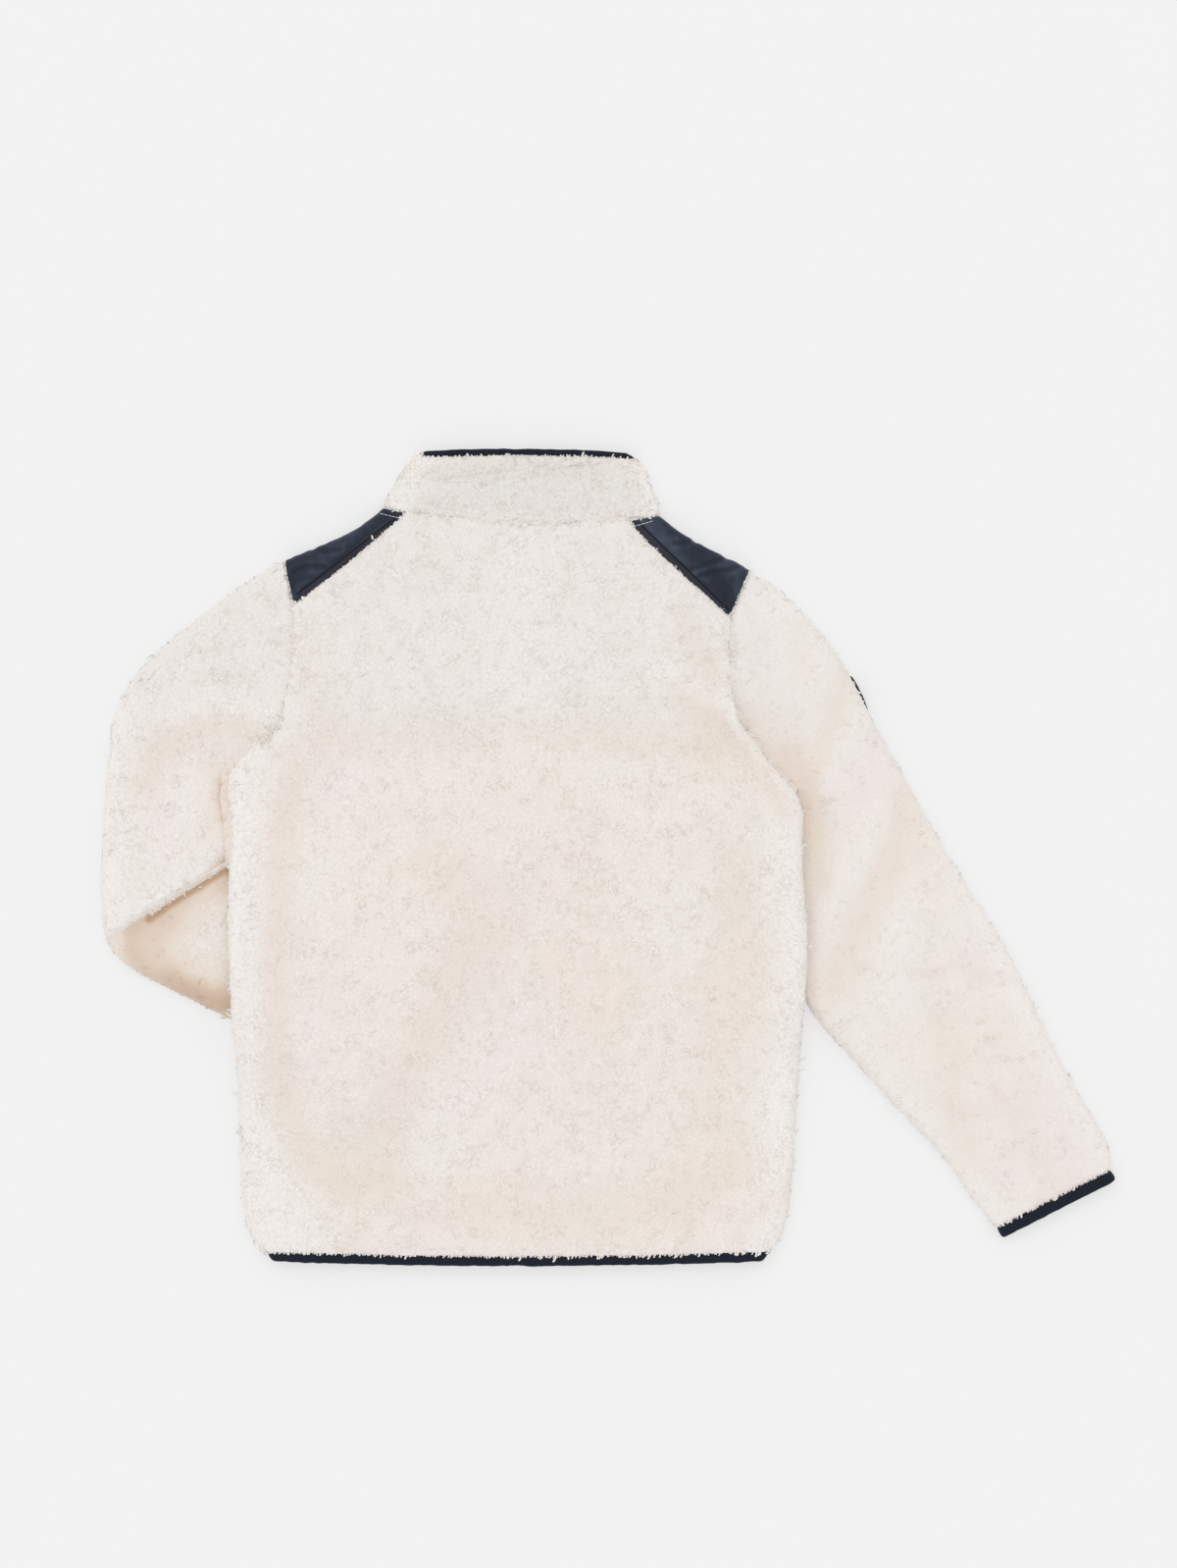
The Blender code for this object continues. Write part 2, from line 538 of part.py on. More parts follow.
# The strip stitched along each yoke's lower edge is made from the yoke's points.
for name in ("left", "right"):
    outer, _ = yokes["yoke_" + name]
    seam, next_point = outer[:, 0], outer[:, 1]
    unit = (next_point - seam) / np.linalg.norm(next_point - seam, axis=1)[:, None]
    sections = []
    for i in range(1, len(seam)):
        for t in (0.5, 1.0) if i == 1 else (1.0,):
            base = seam[i - 1] + (seam[i] - seam[i - 1]) * t
            u = unit[i]
            low, high = 0.35, 1.15
            sections.append([base + u * 0.4 + [0, 0, low], base + u * 0.4 + [0, 0, high - 0.2],
                             base + u * 3.6 + [0, 0, high], base + u * 6.6 + [0, 0, high - 0.2],
                             base + u * 6.6 + [0, 0, low]])
    bead("yoke_strip_" + name, sections, navy_woven)


# --------------------------------------------------------------------------- collar
def collar_section(row, share):
    lx, ly, rx, ry, hang = row
    width = rx - lx
    half = COLLAR / 2
    y_of = lambda x: ly + (ry - ly) * (x - lx) / width - hang * 4 * (x - lx) * (rx - x) / width ** 2
    result = []
    for reach, side in ((half, 1), (half - FLEECE, 1)):
        line = []
        for kind, value in share:
            if kind == "top":
                x, z = lx + 10 + (width - 20) * value, half + reach
            elif kind == "low left":
                x, z = lx + 10 + (LEFT_EDGE - lx - 10) * value, half - reach
            elif kind == "low right":
                x, z = rx - 10 + (RIGHT_EDGE - rx + 10) * value, half - reach
            elif kind == "left":
                x, z = lx + half - reach * np.cos(value), half + reach * np.sin(value)
            else:
                x, z = rx - half + reach * np.cos(value), half + reach * np.sin(value)
            line.append((x, y_of(x), z))
        result.append(line)
    return result


turn = np.concatenate([-ROLL[::-1], ROLL[1:]])
collar_share = ([("low left", t) for t in (1, 0.66, 0.33, 0)] + [("left", a) for a in turn]
                + [("top", t) for t in np.linspace(0, 1, 8)] + [("right", a) for a in turn[::-1]]
                + [("low right", t) for t in (0, 0.33, 0.66, 1)])
collar_grids = [collar_section(row, collar_share) for row in COLLAR_ROWS]
wall("collar", [g[0] for g in collar_grids], [g[1] for g in collar_grids], fleece)


# ------------------------------------------------------------------------- bindings
def band(name, path, outward, thick, wide, look, ring=False, draw_in=None):
    """A folded binding: a rounded strip past the edge of a wall. path runs along
    the middle of the wall's edge and outward is the way it grows."""
    path = np.asarray(path, float)
    way = np.roll(path, -1, 0) - np.roll(path, 1, 0) if ring else np.gradient(path, axis=0)
    outward = np.asarray(outward, float)
    across = np.cross(way, outward)
    across /= np.linalg.norm(across, axis=1)[:, None]
    half = thick / 2
    profile = [(SEAM, -0.8 * half), (SEAM, 0.8 * half), (0.75 * wide, half), (wide, 0.5 * half),
               (wide, -0.5 * half), (0.75 * wide, -half)]
    sections = []
    for i, point in enumerate(path):
        shift = draw_in[i] if draw_in is not None else np.zeros(3)
        sections.append([point + outward[i] * a + across[i] * b + shift * a / wide for a, b in profile])
    bead(name, sections, look, ring)


def edge_path(outer, inner):
    return (np.asarray(outer) + np.asarray(inner)) / 2


hem_row = body_rows()[0]
u, ui, d, di = body_section(hem_row, left_half + right_half)
half_count = len(left_half)
hem = np.concatenate([edge_path(d, di)[:half_count][::-1], edge_path(u, ui), edge_path(d, di)[half_count:][::-1]])
hem = np.delete(hem, [half_count, half_count + len(u) - 1], axis=0)
hem = hem[np.concatenate([[True], np.linalg.norm(np.diff(hem, axis=0), axis=1) > 0.6])]
centre = (hem[:, 0].min() + hem[:, 0].max()) / 2
near_side = ease((np.abs(hem[:, 0] - centre) - 150) / 36)
draw = np.column_stack([-np.sign(hem[:, 0] - centre) * 5.0 * near_side, 0 * near_side, 0 * near_side])
band("hem_binding", hem, np.tile([0, -1.0, 0], (len(hem), 1)), 4.4, 7.9, navy_band, draw_in=draw)

collar_top = edge_path(*collar_grids[-1])
keep = np.concatenate([[True], np.linalg.norm(np.diff(collar_top, axis=0), axis=1) > 0.6])
collar_top = collar_top[keep]
centre = (collar_top[:, 0].min() + collar_top[:, 0].max()) / 2
near_side = ease((np.abs(collar_top[:, 0] - centre) - 55) / 25)
draw = np.column_stack([-np.sign(collar_top[:, 0] - centre) * 8.0 * near_side, 0 * near_side, 0 * near_side])
band("collar_binding", collar_top, np.tile([0, 1.0, 0], (len(collar_top), 1)), 4.2, 5.4, navy_band, draw_in=draw)

for name, outer, inner, wide in (("cuff_binding_right", right_outer[-1], right_inner[-1], 9.6),
                                 ("cuff_binding_left", left_outer[-1], left_inner[-1], 9.6)):
    ring = edge_path(outer, inner)
    ends = ring[0], ring[len(ROLL) * 2 - 2 + 0]
    first, last = outer[0], outer[np.argmax(np.linalg.norm(outer[:, :2] - outer[0, :2], axis=1))]
    chord = (last - first) / np.linalg.norm(last - first)
    out = np.array([chord[1], -chord[0], 0])
    away = ring.mean(0) - (right_outer if "right" in name else left_outer)[-3].mean(0)
    out *= np.sign(out @ away)
    band(name, ring, np.tile(out, (len(ring), 1)), 4.4, wide, navy_band, ring=True)


# ------------------------------------------------------------------------------ zip
def tape(name, inside, edge, beside, sign):
    """A zip tape made from the inner points of the front that it is sewn to."""
    rows = [[(CENTRE_X + sign * 0.2, *at_edge[1:]), at_edge, at_next]
            for at_edge, at_next in zip(inside[:, edge], inside[:, beside])]
    for y in (252, 292):
        rows.append([(CENTRE_X + sign * out, y, FLEECE) for out in (0.2, ZIP_OPENING / 2, ZIP_OPENING / 2 + 3)])
    rows = np.array(rows)
    wall(name, rows + [0, 0, 0.35 + TAPE], rows + [0, 0, 0.35], navy_tape)


tape("zip_tape_left", fronts["front_left"], -1, -2, -1)
tape("zip_tape_right", fronts["front_right"], 0, 1, 1)
box("zip_teeth", (CENTRE_X - 2.8, -295, 3.9), (CENTRE_X + 2.8, 291, 6.0), coil)

SLIDER_Y, PIN_Z = 279.0, 1.6
plate = [(-3.2, -7), (3.2, -7), (4.4, -2), (4.4, 5), (2.2, 7), (-2.2, 7), (-4.4, 5), (-4.4, -2)]
points = [(CENTRE_X + x, SLIDER_Y + y, z) for z in (2.5, 3.6) for x, y in plate]
count = len(plate)
faces = [tuple(range(count)), tuple(range(count, 2 * count))]
faces += [(i, (i + 1) % count, (i + 1) % count + count, i + count) for i in range(count)]
slider = solid("zip_slider", points, faces, metal)
for x in (-3.1, 3.1):
    lug = box("lug", (CENTRE_X + x - 0.7, SLIDER_Y - 1.3, 0.7), (CENTRE_X + x + 0.7, SLIDER_Y + 1.3, 2.8), metal)
    joined = slider.modifiers.new("Lug", "BOOLEAN")
    joined.operation, joined.solver, joined.object = "UNION", "EXACT", lug
    lug.hide_render = True

# The pull tab turns on its barrel between the slider's two lugs.
barrel_turns = np.radians(np.arange(0, 360, 30))
sections = [[(CENTRE_X + x, SLIDER_Y + 0.85 * np.sin(a), PIN_Z + 0.85 * np.cos(a)) for a in barrel_turns]
            for x in (-2.1, 2.1)]
tab = bead("zip_pull", sections, metal)
outline = [(-1.3, 0), (-2.4, -4), (-3.0, -9), (-3.0, -22), (-2.0, -24.5), (2.0, -24.5), (3.0, -22), (3.0, -9), (2.4, -4), (1.3, 0)]
points = [(CENTRE_X + x, SLIDER_Y + y, z) for z in (1.1, 2.1) for x, y in outline]
count = len(outline)
faces = [tuple(range(count)), tuple(range(count, 2 * count))]
faces += [(i, (i + 1) % count, (i + 1) % count + count, i + count) for i in range(count)]
leaf = solid("leaf", points, faces, metal)
leaf.hide_render = True
joined = tab.modifiers.new("Leaf", "BOOLEAN")
joined.operation, joined.solver, joined.object = "UNION", "EXACT", leaf

# ---------------------------------------------------------------------------- badge
# Only the rim of a plain round patch shows, where it comes round the sleeve's edge.
edge = along(SLEEVE_RIGHT_OUTER, np.linspace(108, 138, 6))
way = np.gradient(edge, axis=0)
way /= np.linalg.norm(way, axis=1)[:, None]
beside = np.column_stack([-way[:, 1], way[:, 0]])
rows = []
half = (SLEEVE + 1.2) / 2
for i, (point, out) in enumerate(zip(edge, beside)):
    open_to = 10 - 60 * abs(i - 2.5) / 2.5 * 0.5
    angles = np.radians(np.linspace(-50, open_to, 4))
    rows.append([[(*(point + out * ((half + more) * np.cos(a) - half)), half + (half + more) * np.sin(a)) for a in angles]
                 for more in (1.5, 0.6)])
wall("badge_edge", [r[0] for r in rows], [r[1] for r in rows], navy_woven)

# ---------------------------------------------------------------------- centring
# The origin is the middle of the underside of the box round all the solids.
bpy.context.view_layer.update()
shown = [o for o in bpy.data.objects if not o.hide_render]
corners = np.array([o.matrix_world @ v.co for o in shown for v in o.data.vertices])
middle = (corners.min(0) + corners.max(0)) / 2
shift = (-middle[0], -middle[1], -corners[:, 2].min())
for thing in bpy.data.objects:
    for vertex in thing.data.vertices:
        vertex.co += type(vertex.co)(shift)
print("shift", [round(1000 * s, 2) for s in shift])
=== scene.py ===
# %% [markdown]
# # A child's pile fleece jacket, laid flat
# The jacket lies on its front, zipped up, with the back of the body showing. One
# sleeve lies straight out and the other is bent, with its forearm under the body.
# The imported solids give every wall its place. This lesson dresses them: the curled
# pile, the woven shoulder pieces, the ribbed bindings, the stitches and the zip.

import contextlib
import math

import bmesh
import bpy
import numpy as np
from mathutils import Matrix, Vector, noise
from mathutils.bvhtree import BVHTree


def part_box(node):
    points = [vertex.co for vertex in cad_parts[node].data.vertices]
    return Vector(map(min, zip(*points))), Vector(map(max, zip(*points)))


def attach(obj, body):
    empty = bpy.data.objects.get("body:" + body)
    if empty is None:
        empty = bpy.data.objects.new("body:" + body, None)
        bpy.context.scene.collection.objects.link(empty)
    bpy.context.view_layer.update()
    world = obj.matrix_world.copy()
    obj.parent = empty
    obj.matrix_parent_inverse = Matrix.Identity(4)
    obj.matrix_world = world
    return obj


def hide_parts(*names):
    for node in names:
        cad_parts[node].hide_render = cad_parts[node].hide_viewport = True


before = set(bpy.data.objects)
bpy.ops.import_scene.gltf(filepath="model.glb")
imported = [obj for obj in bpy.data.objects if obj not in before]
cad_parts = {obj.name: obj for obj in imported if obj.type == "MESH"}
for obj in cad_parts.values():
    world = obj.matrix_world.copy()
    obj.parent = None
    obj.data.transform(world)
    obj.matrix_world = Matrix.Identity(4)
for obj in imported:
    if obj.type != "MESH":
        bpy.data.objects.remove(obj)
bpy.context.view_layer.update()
MM = 0.001
noise.seed_set(7)  # noise_vector takes its offsets from the clock otherwise

# %% [markdown]
# ## Writing shader maths as sums
# A shader is a graph of nodes, but most of it is arithmetic. Here one small class
# wraps a socket, so `1 - mask * 0.4` adds the Math nodes that it needs, and one
# method adds any other node. Geometry trees use the same class.

# %% A wire that can be added, multiplied and so on
class Wire:
    def __init__(self, graph, socket):
        self.graph, self.socket = graph, socket

    def maths(self, operation, *others, clamp=False):
        settings = {"operation": operation, "use_clamp": clamp}
        return self.graph.add("ShaderNodeMath", settings, self, *others)

    def __add__(self, other):
        return self.maths("ADD", other)

    def __mul__(self, other):
        return self.maths("MULTIPLY", other)

    def __sub__(self, other):
        return self.maths("SUBTRACT", other)

    def __rsub__(self, other):
        return (self * -1) + other

    def __truediv__(self, other):
        return self.maths("DIVIDE", other)

    __radd__, __rmul__ = __add__, __mul__

    def clamped(self):
        return self.maths("ADD", 0.0, clamp=True)


class Graph:
    """A node tree with a method for adding nodes, and short ones for those that repeat."""

    def __init__(self, tree):
        self.tree = tree

    def add(self, kind, settings=None, *values, output=0, **named):
        made = self.tree.nodes.new(kind)
        for key, value in (settings or {}).items():
            setattr(made, key, value)
        for at, value in list(enumerate(values)) + list(named.items()):
            socket = made.inputs[at if isinstance(at, int) else at.replace("_", " ")]
            if isinstance(value, Wire):
                self.tree.links.new(value.socket, socket)
            elif value is not None:
                socket.default_value = value
        return Wire(self, made.outputs[output]) if made.outputs else made

    def mix(self, share, first, second):
        """A colour between two colours."""
        made = self.tree.nodes.new("ShaderNodeMix")
        made.data_type = "RGBA"
        factor, colour_a, colour_b = made.inputs[0], made.inputs[6], made.inputs[7]
        for socket, value in ((factor, share), (colour_a, first), (colour_b, second)):
            if isinstance(value, Wire):
                self.tree.links.new(value.socket, socket)
            else:
                socket.default_value = (*value, 1) if isinstance(value, tuple) else value
        return Wire(self, made.outputs[2])

    def place(self):
        """The point itself, in metres."""
        return self.add("ShaderNodeTexCoord", output=3)

    def attribute(self, name):
        """A number that is stored on the mesh."""
        return self.add("ShaderNodeAttribute", {"attribute_name": name}, output=2)

    def noise(self, vector, scale, detail, seed=None, **more):
        """Noise around 0.5. A seed gives another pattern at the same place."""
        settings = None
        if seed is not None:
            settings, more["W"] = {"noise_dimensions": "4D"}, seed
        return self.add("ShaderNodeTexNoise", settings, Vector=vector, Scale=scale, Detail=detail, **more)

    def remap(self, value, low, high):
        """0 below the low value, 1 above the high one."""
        return self.add("ShaderNodeMapRange", None, value, low, high)

    def plug(self, node, **named):
        """Fills sockets by name: of those that share a name, the one in use."""
        for name, value in named.items():
            label = name.replace("_", " ")
            socket = next(s for s in node.inputs if s.name == label and s.enabled)
            if isinstance(value, Wire):
                self.tree.links.new(value.socket, socket)
            else:
                socket.default_value = value


def cloth_material(name, roughness, sheen=0.0, tint=(1, 1, 1), metallic=0.0):
    """A Principled material with its constant sockets set, and its graph."""
    made = bpy.data.materials.new(name)
    made.use_nodes = True
    shader = made.node_tree.nodes["Principled BSDF"]
    for socket, value in (("Roughness", roughness), ("Metallic", metallic), ("Sheen Weight", sheen),
                          ("Sheen Roughness", 0.5), ("Sheen Tint", (*tint, 1)), ("Specular IOR Level", 0.2)):
        shader.inputs[socket].default_value = value
    return made, Graph(made.node_tree), shader


def finish_material(graph, shader, colour, height, strength, distance):
    """Gives the shader its colour, and its bump from a height in 0 to 1."""
    graph.tree.links.new(colour.socket, shader.inputs["Base Color"])
    bump = graph.add("ShaderNodeBump", None, Strength=strength, Distance=distance, Height=height)
    graph.tree.links.new(bump.socket, shader.inputs["Normal"])


# %% [markdown]
# ## The pile fleece
# Teddy fleece is a knitted ground with a brushed, curled pile about 4 mm high. Seen
# from above it is cream, with small squiggles where the curls part, and soft pink,
# grey-green and straw-coloured patches. A flat colour would look like paper, so the
# colour follows four values that are stored on the mesh: `depth`, how high the pile
# stands, `shade`, how much painted shade falls in its folds, dips and corners, `rim`,
# how much painted light it gets where it turns down at an edge or rises in a ridge,
# and `crisp`, how clearly its curls part. The partings and the low pile get painted
# shade too. Light that bounces between cream fibres turns warm, so the painted shade
# is tan, and brown where it is deepest.

# %% Fleece material
PINK_CREAM, GREEN_CREAM, STRAW = (0.862, 0.802, 0.798), (0.848, 0.830, 0.787), (0.858, 0.792, 0.730)
UPPER_CREAM, COLLAR_CREAM = (0.822, 0.818, 0.797), (0.758, 0.762, 0.750)
PAINTED_SHADE_BETWEEN_PUFFS, PAINTED_RIM_LIGHT = (0.790, 0.735, 0.700), (0.885, 0.872, 0.857)
PAINTED_PARTING_SHADE, PAINTED_FOLD_SHADE, PAINTED_DEEP_SHADOW = (0.640, 0.560, 0.500), (0.745, 0.630, 0.535), (0.500, 0.330, 0.215)
UPPER_BACK, COLLAR_SEAM = (0.06, 0.12), (0.245, 0.262)  # ranges in metres, towards the neck

fleece, g, shader = cloth_material("Curled cream pile", 0.95, sheen=0.7, tint=(1.0, 0.99, 0.97))
place = g.place()
depth, shade, rim, crisp = (g.attribute(name) for name in ("depth", "shade", "rim", "crisp"))
up_the_back = g.add("ShaderNodeSeparateXYZ", None, place, output=1)

# Clumps of curls with cracks between them, and the fibres of each.
swirl = g.noise(place, 260.0, 2.0, output=1)
bent = g.add("ShaderNodeVectorMath", {"operation": "MULTIPLY_ADD"}, swirl, (0.0034,) * 3, place)
clumps = g.add("ShaderNodeTexVoronoi", {"feature": "DISTANCE_TO_EDGE"}, Vector=bent, Scale=300.0)
cracks = 1 - g.remap(clumps, 0.0, 0.22)
fibres = g.noise(bent, 620.0, 2.0, seed=1.3, Roughness=0.6, Distortion=0.8)

# Longer partings wander where a noise passes its middle, and break off here and there.
wander = g.noise(place, 150.0, 1.0, seed=9.2, Distortion=1.1)
lines = 1 - g.remap((wander - 0.5).maths("ABSOLUTE"), 0.0, 0.045)
lines = lines * g.remap(g.noise(place, 90.0, 1.0, seed=2.2), 0.42, 0.60)

# Broad patches first, then painted shade between puffs, painted rim light, and the painted shade of the partings and
# the folds.
patches = g.noise(place, 13.0, 1.0, Roughness=0.4)
warmth = g.noise(place, 12.0, 1.0, seed=3.7, Roughness=0.4)
puffs = g.noise(place, 75.0, 2.0, seed=6.1)
colour = g.mix(g.remap(patches, 0.40, 0.62), PINK_CREAM, GREEN_CREAM)
colour = g.mix(g.remap(warmth, 0.42, 0.70) * 0.7, colour, STRAW)
colour = g.mix(g.remap(up_the_back, *UPPER_BACK) * 0.75, colour, UPPER_CREAM)
colour = g.mix(g.remap(up_the_back, *COLLAR_SEAM) * 0.85, colour, COLLAR_CREAM)
# Painted shade between soft puffs, placed by noise.
colour = g.mix((g.remap(puffs, 0.42, 0.66) * 0.35).clamped(), colour, PAINTED_SHADE_BETWEEN_PUFFS)
# Painted light on the rims that turn down and on the ridges.
colour = g.mix((rim * 0.85).clamped(), colour, PAINTED_RIM_LIGHT)
# Painted shade in the partings, the cracks, the low pile and between the fibres.
parted = lines * 0.50 + cracks * cracks * 0.28 + (1 - depth) * 0.14 + (1 - fibres) * 0.14
parted = parted * crisp + (1 - crisp) * 0.30
colour = g.mix(parted.clamped(), colour, PAINTED_PARTING_SHADE)
# Painted shade of the folds, dips and corners: tan, then brown where it is deepest.
colour = g.mix((shade * 0.85).clamped(), colour, PAINTED_FOLD_SHADE)
colour = g.mix(((shade - 0.80) * 0.75).clamped(), colour, PAINTED_DEEP_SHADOW)
height = ((1 - lines) * 0.6 + (1 - cracks) * 0.3 + fibres * 0.4) * crisp
finish_material(g, shader, colour, height, 0.32, 0.0010)
print("fleece nodes", len(fleece.node_tree.nodes))

# %% [markdown]
# ## The woven, ribbed and plastic finishes
# The shoulder pieces are a close plain weave, navy with a slight gloss. Its threads
# are 0.35 mm apart, so they show as a fine grain and not as lines. The bindings are
# a stretch rib that is folded over the edge: fine ribs run across it. The zip tape
# is a herringbone twill. The repeated waves come from sums of sine waves.

# %% A weave of threads that cross, over and under
NAVY_SHEEN = (0.6, 0.68, 0.85)
PAINTED_CREST_HIGHLIGHT, PAINTED_HOLLOW_SHADE = (0.050, 0.064, 0.100), (0.006, 0.009, 0.018)


def wave(value, step):
    """A wave from 0 to 1, with its crests a step apart."""
    return (value * (2 * math.pi / step)).maths("SINE") * 0.5 + 0.5


def woven_material(name, base, light, step, rough, turn, sheen=0.3):
    """A plain weave. Its threads are half a step apart, and `crest` marks the wrinkles, painted lighter on their
    crests and darker in their hollows.
    """
    made, g, shader = cloth_material(name, rough, sheen=sheen, tint=NAVY_SHEEN)
    place, crest = g.place(), g.attribute("crest")
    turned = g.add("ShaderNodeMapping", None, Vector=place, Rotation=(0, 0, turn))
    warp, weft = (wave(g.add("ShaderNodeSeparateXYZ", None, turned, output=axis), step) for axis in (0, 1))
    threads = warp * weft + (1 - warp) * (1 - weft)
    wear = g.noise(place, 45.0, 3.0)
    rumple = g.noise(place, 120.0, 2.0, seed=2.2)
    colour = g.mix((threads * 0.45 + wear * 0.4).clamped(), base, light)
    # Painted highlight on the wrinkle crests and painted shade in their hollows.
    colour = g.mix((crest * 0.9).clamped(), colour, PAINTED_CREST_HIGHLIGHT)
    colour = g.mix((crest * -0.9).clamped(), colour, PAINTED_HOLLOW_SHADE)
    g.tree.links.new((rough - wear * 0.18 + threads * 0.08).socket, shader.inputs["Roughness"])
    finish_material(g, shader, colour, threads * 0.35 + rumple * 1.4, 0.5, 0.0006)
    return made


navy_weave = woven_material("Navy plain weave", (0.009, 0.013, 0.025), (0.022, 0.031, 0.054),
                            0.0007, 0.46, turn=0.75, sheen=0.05)
navy_edge = woven_material("Navy facing at the seam", (0.013, 0.014, 0.024), (0.050, 0.050, 0.068),
                           0.0012, 0.85, turn=0.75, sheen=0.10)
twill = woven_material("Navy zip tape", (0.012, 0.016, 0.027), (0.026, 0.034, 0.054), 0.0009, 0.8, turn=0.6)


# %% The ribbed binding, whose ribs follow the stored distance along the edge
def rib_material(name, step):
    made, g, shader = cloth_material(name, 0.85, sheen=0.08, tint=NAVY_SHEEN)
    place, ribs = g.place(), wave(g.attribute("along"), step)
    fuzz = g.noise(place, 900.0, 2.0)
    wear = g.noise(place, 60.0, 2.0, seed=4.0)
    # Painted light on the rib crests, with random fuzz and wear as tone.
    painted_rib_light_and_tone = (ribs * 0.4 + fuzz * 0.25 + wear * 0.25).clamped()
    colour = g.mix(painted_rib_light_and_tone, (0.004, 0.006, 0.012), (0.013, 0.019, 0.034))
    finish_material(g, shader, colour, ribs * 0.7 + fuzz * 0.5, 0.6, 0.0006)
    return made


binding_rib = rib_material("Navy ribbed binding", 0.0011)


# %% Thread, coil and metal
def small_material(name, base, light, rough, grain, metallic=0.0):
    made, g, shader = cloth_material(name, rough, metallic=metallic)
    specks = g.noise(g.place(), grain, 2.0)
    g.tree.links.new((specks * 0.25 + (rough - 0.12)).socket, shader.inputs["Roughness"])
    finish_material(g, shader, g.mix(specks, base, light), specks, 0.25, 0.0002)
    return made


pale_thread = small_material("Pale sewing thread", (0.55, 0.56, 0.60), (0.80, 0.80, 0.82), 0.7, 2500.0)
dark_thread = small_material("Navy sewing thread", (0.002, 0.002, 0.004), (0.008, 0.009, 0.014), 0.7, 2500.0)
coil_plastic = small_material("Navy zip coil", (0.012, 0.016, 0.026), (0.030, 0.038, 0.055), 0.35, 700.0)
dark_metal = small_material("Dark zip metal", (0.10, 0.10, 0.11), (0.22, 0.22, 0.24), 0.35, 500.0, metallic=1.0)

# %% [markdown]
# ## Where the jacket can be seen
# Cloth that lies against other cloth keeps the frame's shape, and only cloth that
# shows gets pile. A ray from each point straight out of the cloth tells them apart:
# if it meets another wall within a few centimetres, the point is hidden.

# %% Trees of the walls, for rays and for the nearest point
def tree_of(pieces):
    """A search tree over the faces of some objects."""
    points, faces = [], []
    for piece in pieces:
        start = len(points)
        points += [v.co.copy() for v in piece.data.vertices]
        faces += [[start + i for i in p.vertices] for p in piece.data.polygons]
    return BVHTree.FromPolygons(points, faces)


def nodes_tree(names):
    return tree_of([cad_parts[name] for name in names])


# The fleece, with the lengths in metres that its edges are cut down to, in turn.
FLEECE_NODES = {"back": (0.008, 0.0042, 0.0029), "sleeve_right": (0.008, 0.0042, 0.0031),
                "sleeve_left": (0.008, 0.0042, 0.0031), "collar": (0.008, 0.0042, 0.0028),
                "front_left": (0.012, 0.006), "front_right": (0.012, 0.006)}
EDGE_NODES = ["yoke_left", "yoke_right", "yoke_strip_left", "yoke_strip_right", "hem_binding",
              "cuff_binding_left", "cuff_binding_right", "collar_binding"]
# The pull moves, so it is left out: the pile is the same at every pose.
walls = nodes_tree([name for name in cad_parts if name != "zip_pull"])
navy_walls = nodes_tree(EDGE_NODES)


def exposure(points, normals, reach=0.03, off_wall=0.0004, touching=0.004):
    """1 where a ray out of the cloth gets away, 0 where it meets a wall, less than 0.6 where that is far."""
    found = np.ones(len(points))
    for i, (point, normal) in enumerate(zip(points, normals)):
        at, way = Vector(point), Vector(normal)
        start = at + way * off_wall
        for _ in range(4):  # past the inner sides of walls, which don't count
            hit = walls.ray_cast(start, way, reach)
            if hit[0] is None or hit[1].dot(way) < 0:
                break
            start = hit[0] + way * 0.0001
        if hit[0] is not None:
            far = (hit[0] - at).length
            found[i] = far / reach * 0.6 if far > touching else 0.0
    return found


# %% [markdown]
# ## From coarse walls to dense skins
# Each fleece wall is copied from the frame and its doubled points are merged. One
# level of Subdivision Surface rounds the facets, then only the edges that show are
# cut again until they are short enough to carry pile.

# %% Reading and writing points as arrays
def coordinates(mesh):
    values = np.empty(len(mesh.vertices) * 3)
    mesh.vertices.foreach_get("co", values)
    return values.reshape(-1, 3)


def normals_of(mesh):
    values = np.empty(len(mesh.vertices) * 3)
    mesh.vertex_normals.foreach_get("vector", values)
    return values.reshape(-1, 3)


def set_coordinates(mesh, values):
    mesh.vertices.foreach_set("co", np.asarray(values, np.float64).ravel())
    mesh.update()


def store(mesh, **named):
    """Stores arrays as attributes of the points, for the materials and the trees."""
    for name, values in named.items():
        values = np.asarray(values, np.float32)
        kind = "FLOAT_VECTOR" if values.ndim == 2 else "FLOAT"
        held = mesh.attributes.get(name) or mesh.attributes.new(name, kind, "POINT")
        held.data.foreach_set("vector" if values.ndim == 2 else "value", values.ravel())


def stored(mesh, name, size=1):
    values = np.empty(len(mesh.vertices) * size)
    mesh.attributes[name].data.foreach_get("value" if size == 1 else "vector", values)
    return values if size == 1 else values.reshape(-1, size)


def edges_of(mesh):
    ends = np.empty(len(mesh.edges) * 2, int)
    mesh.edges.foreach_get("vertices", ends)
    return ends.reshape(-1, 2)


def spread(values, edges, times):
    """Averages a value over neighbouring points a few times."""
    values = values.astype(float).copy()
    count = np.bincount(edges.ravel(), minlength=len(values)).astype(float)
    for _ in range(times):
        total = np.zeros_like(values)
        np.add.at(total, edges[:, 0], values[edges[:, 1]])
        np.add.at(total, edges[:, 1], values[edges[:, 0]])
        values += 0.5 * (total / (count[:, None] if values.ndim > 1 else count) - values)
    return values


def widen(values, edges, times):
    """Passes the largest value on to the neighbouring points a few times."""
    values = values.copy()
    for _ in range(times):
        after = values.copy()
        np.maximum.at(after, edges[:, 0], values[edges[:, 1]])
        np.maximum.at(after, edges[:, 1], values[edges[:, 0]])
        values = after
    return values


# %% Places in the photograph, and how near a point is to a line of them
PIXEL = 0.72  # millimetres


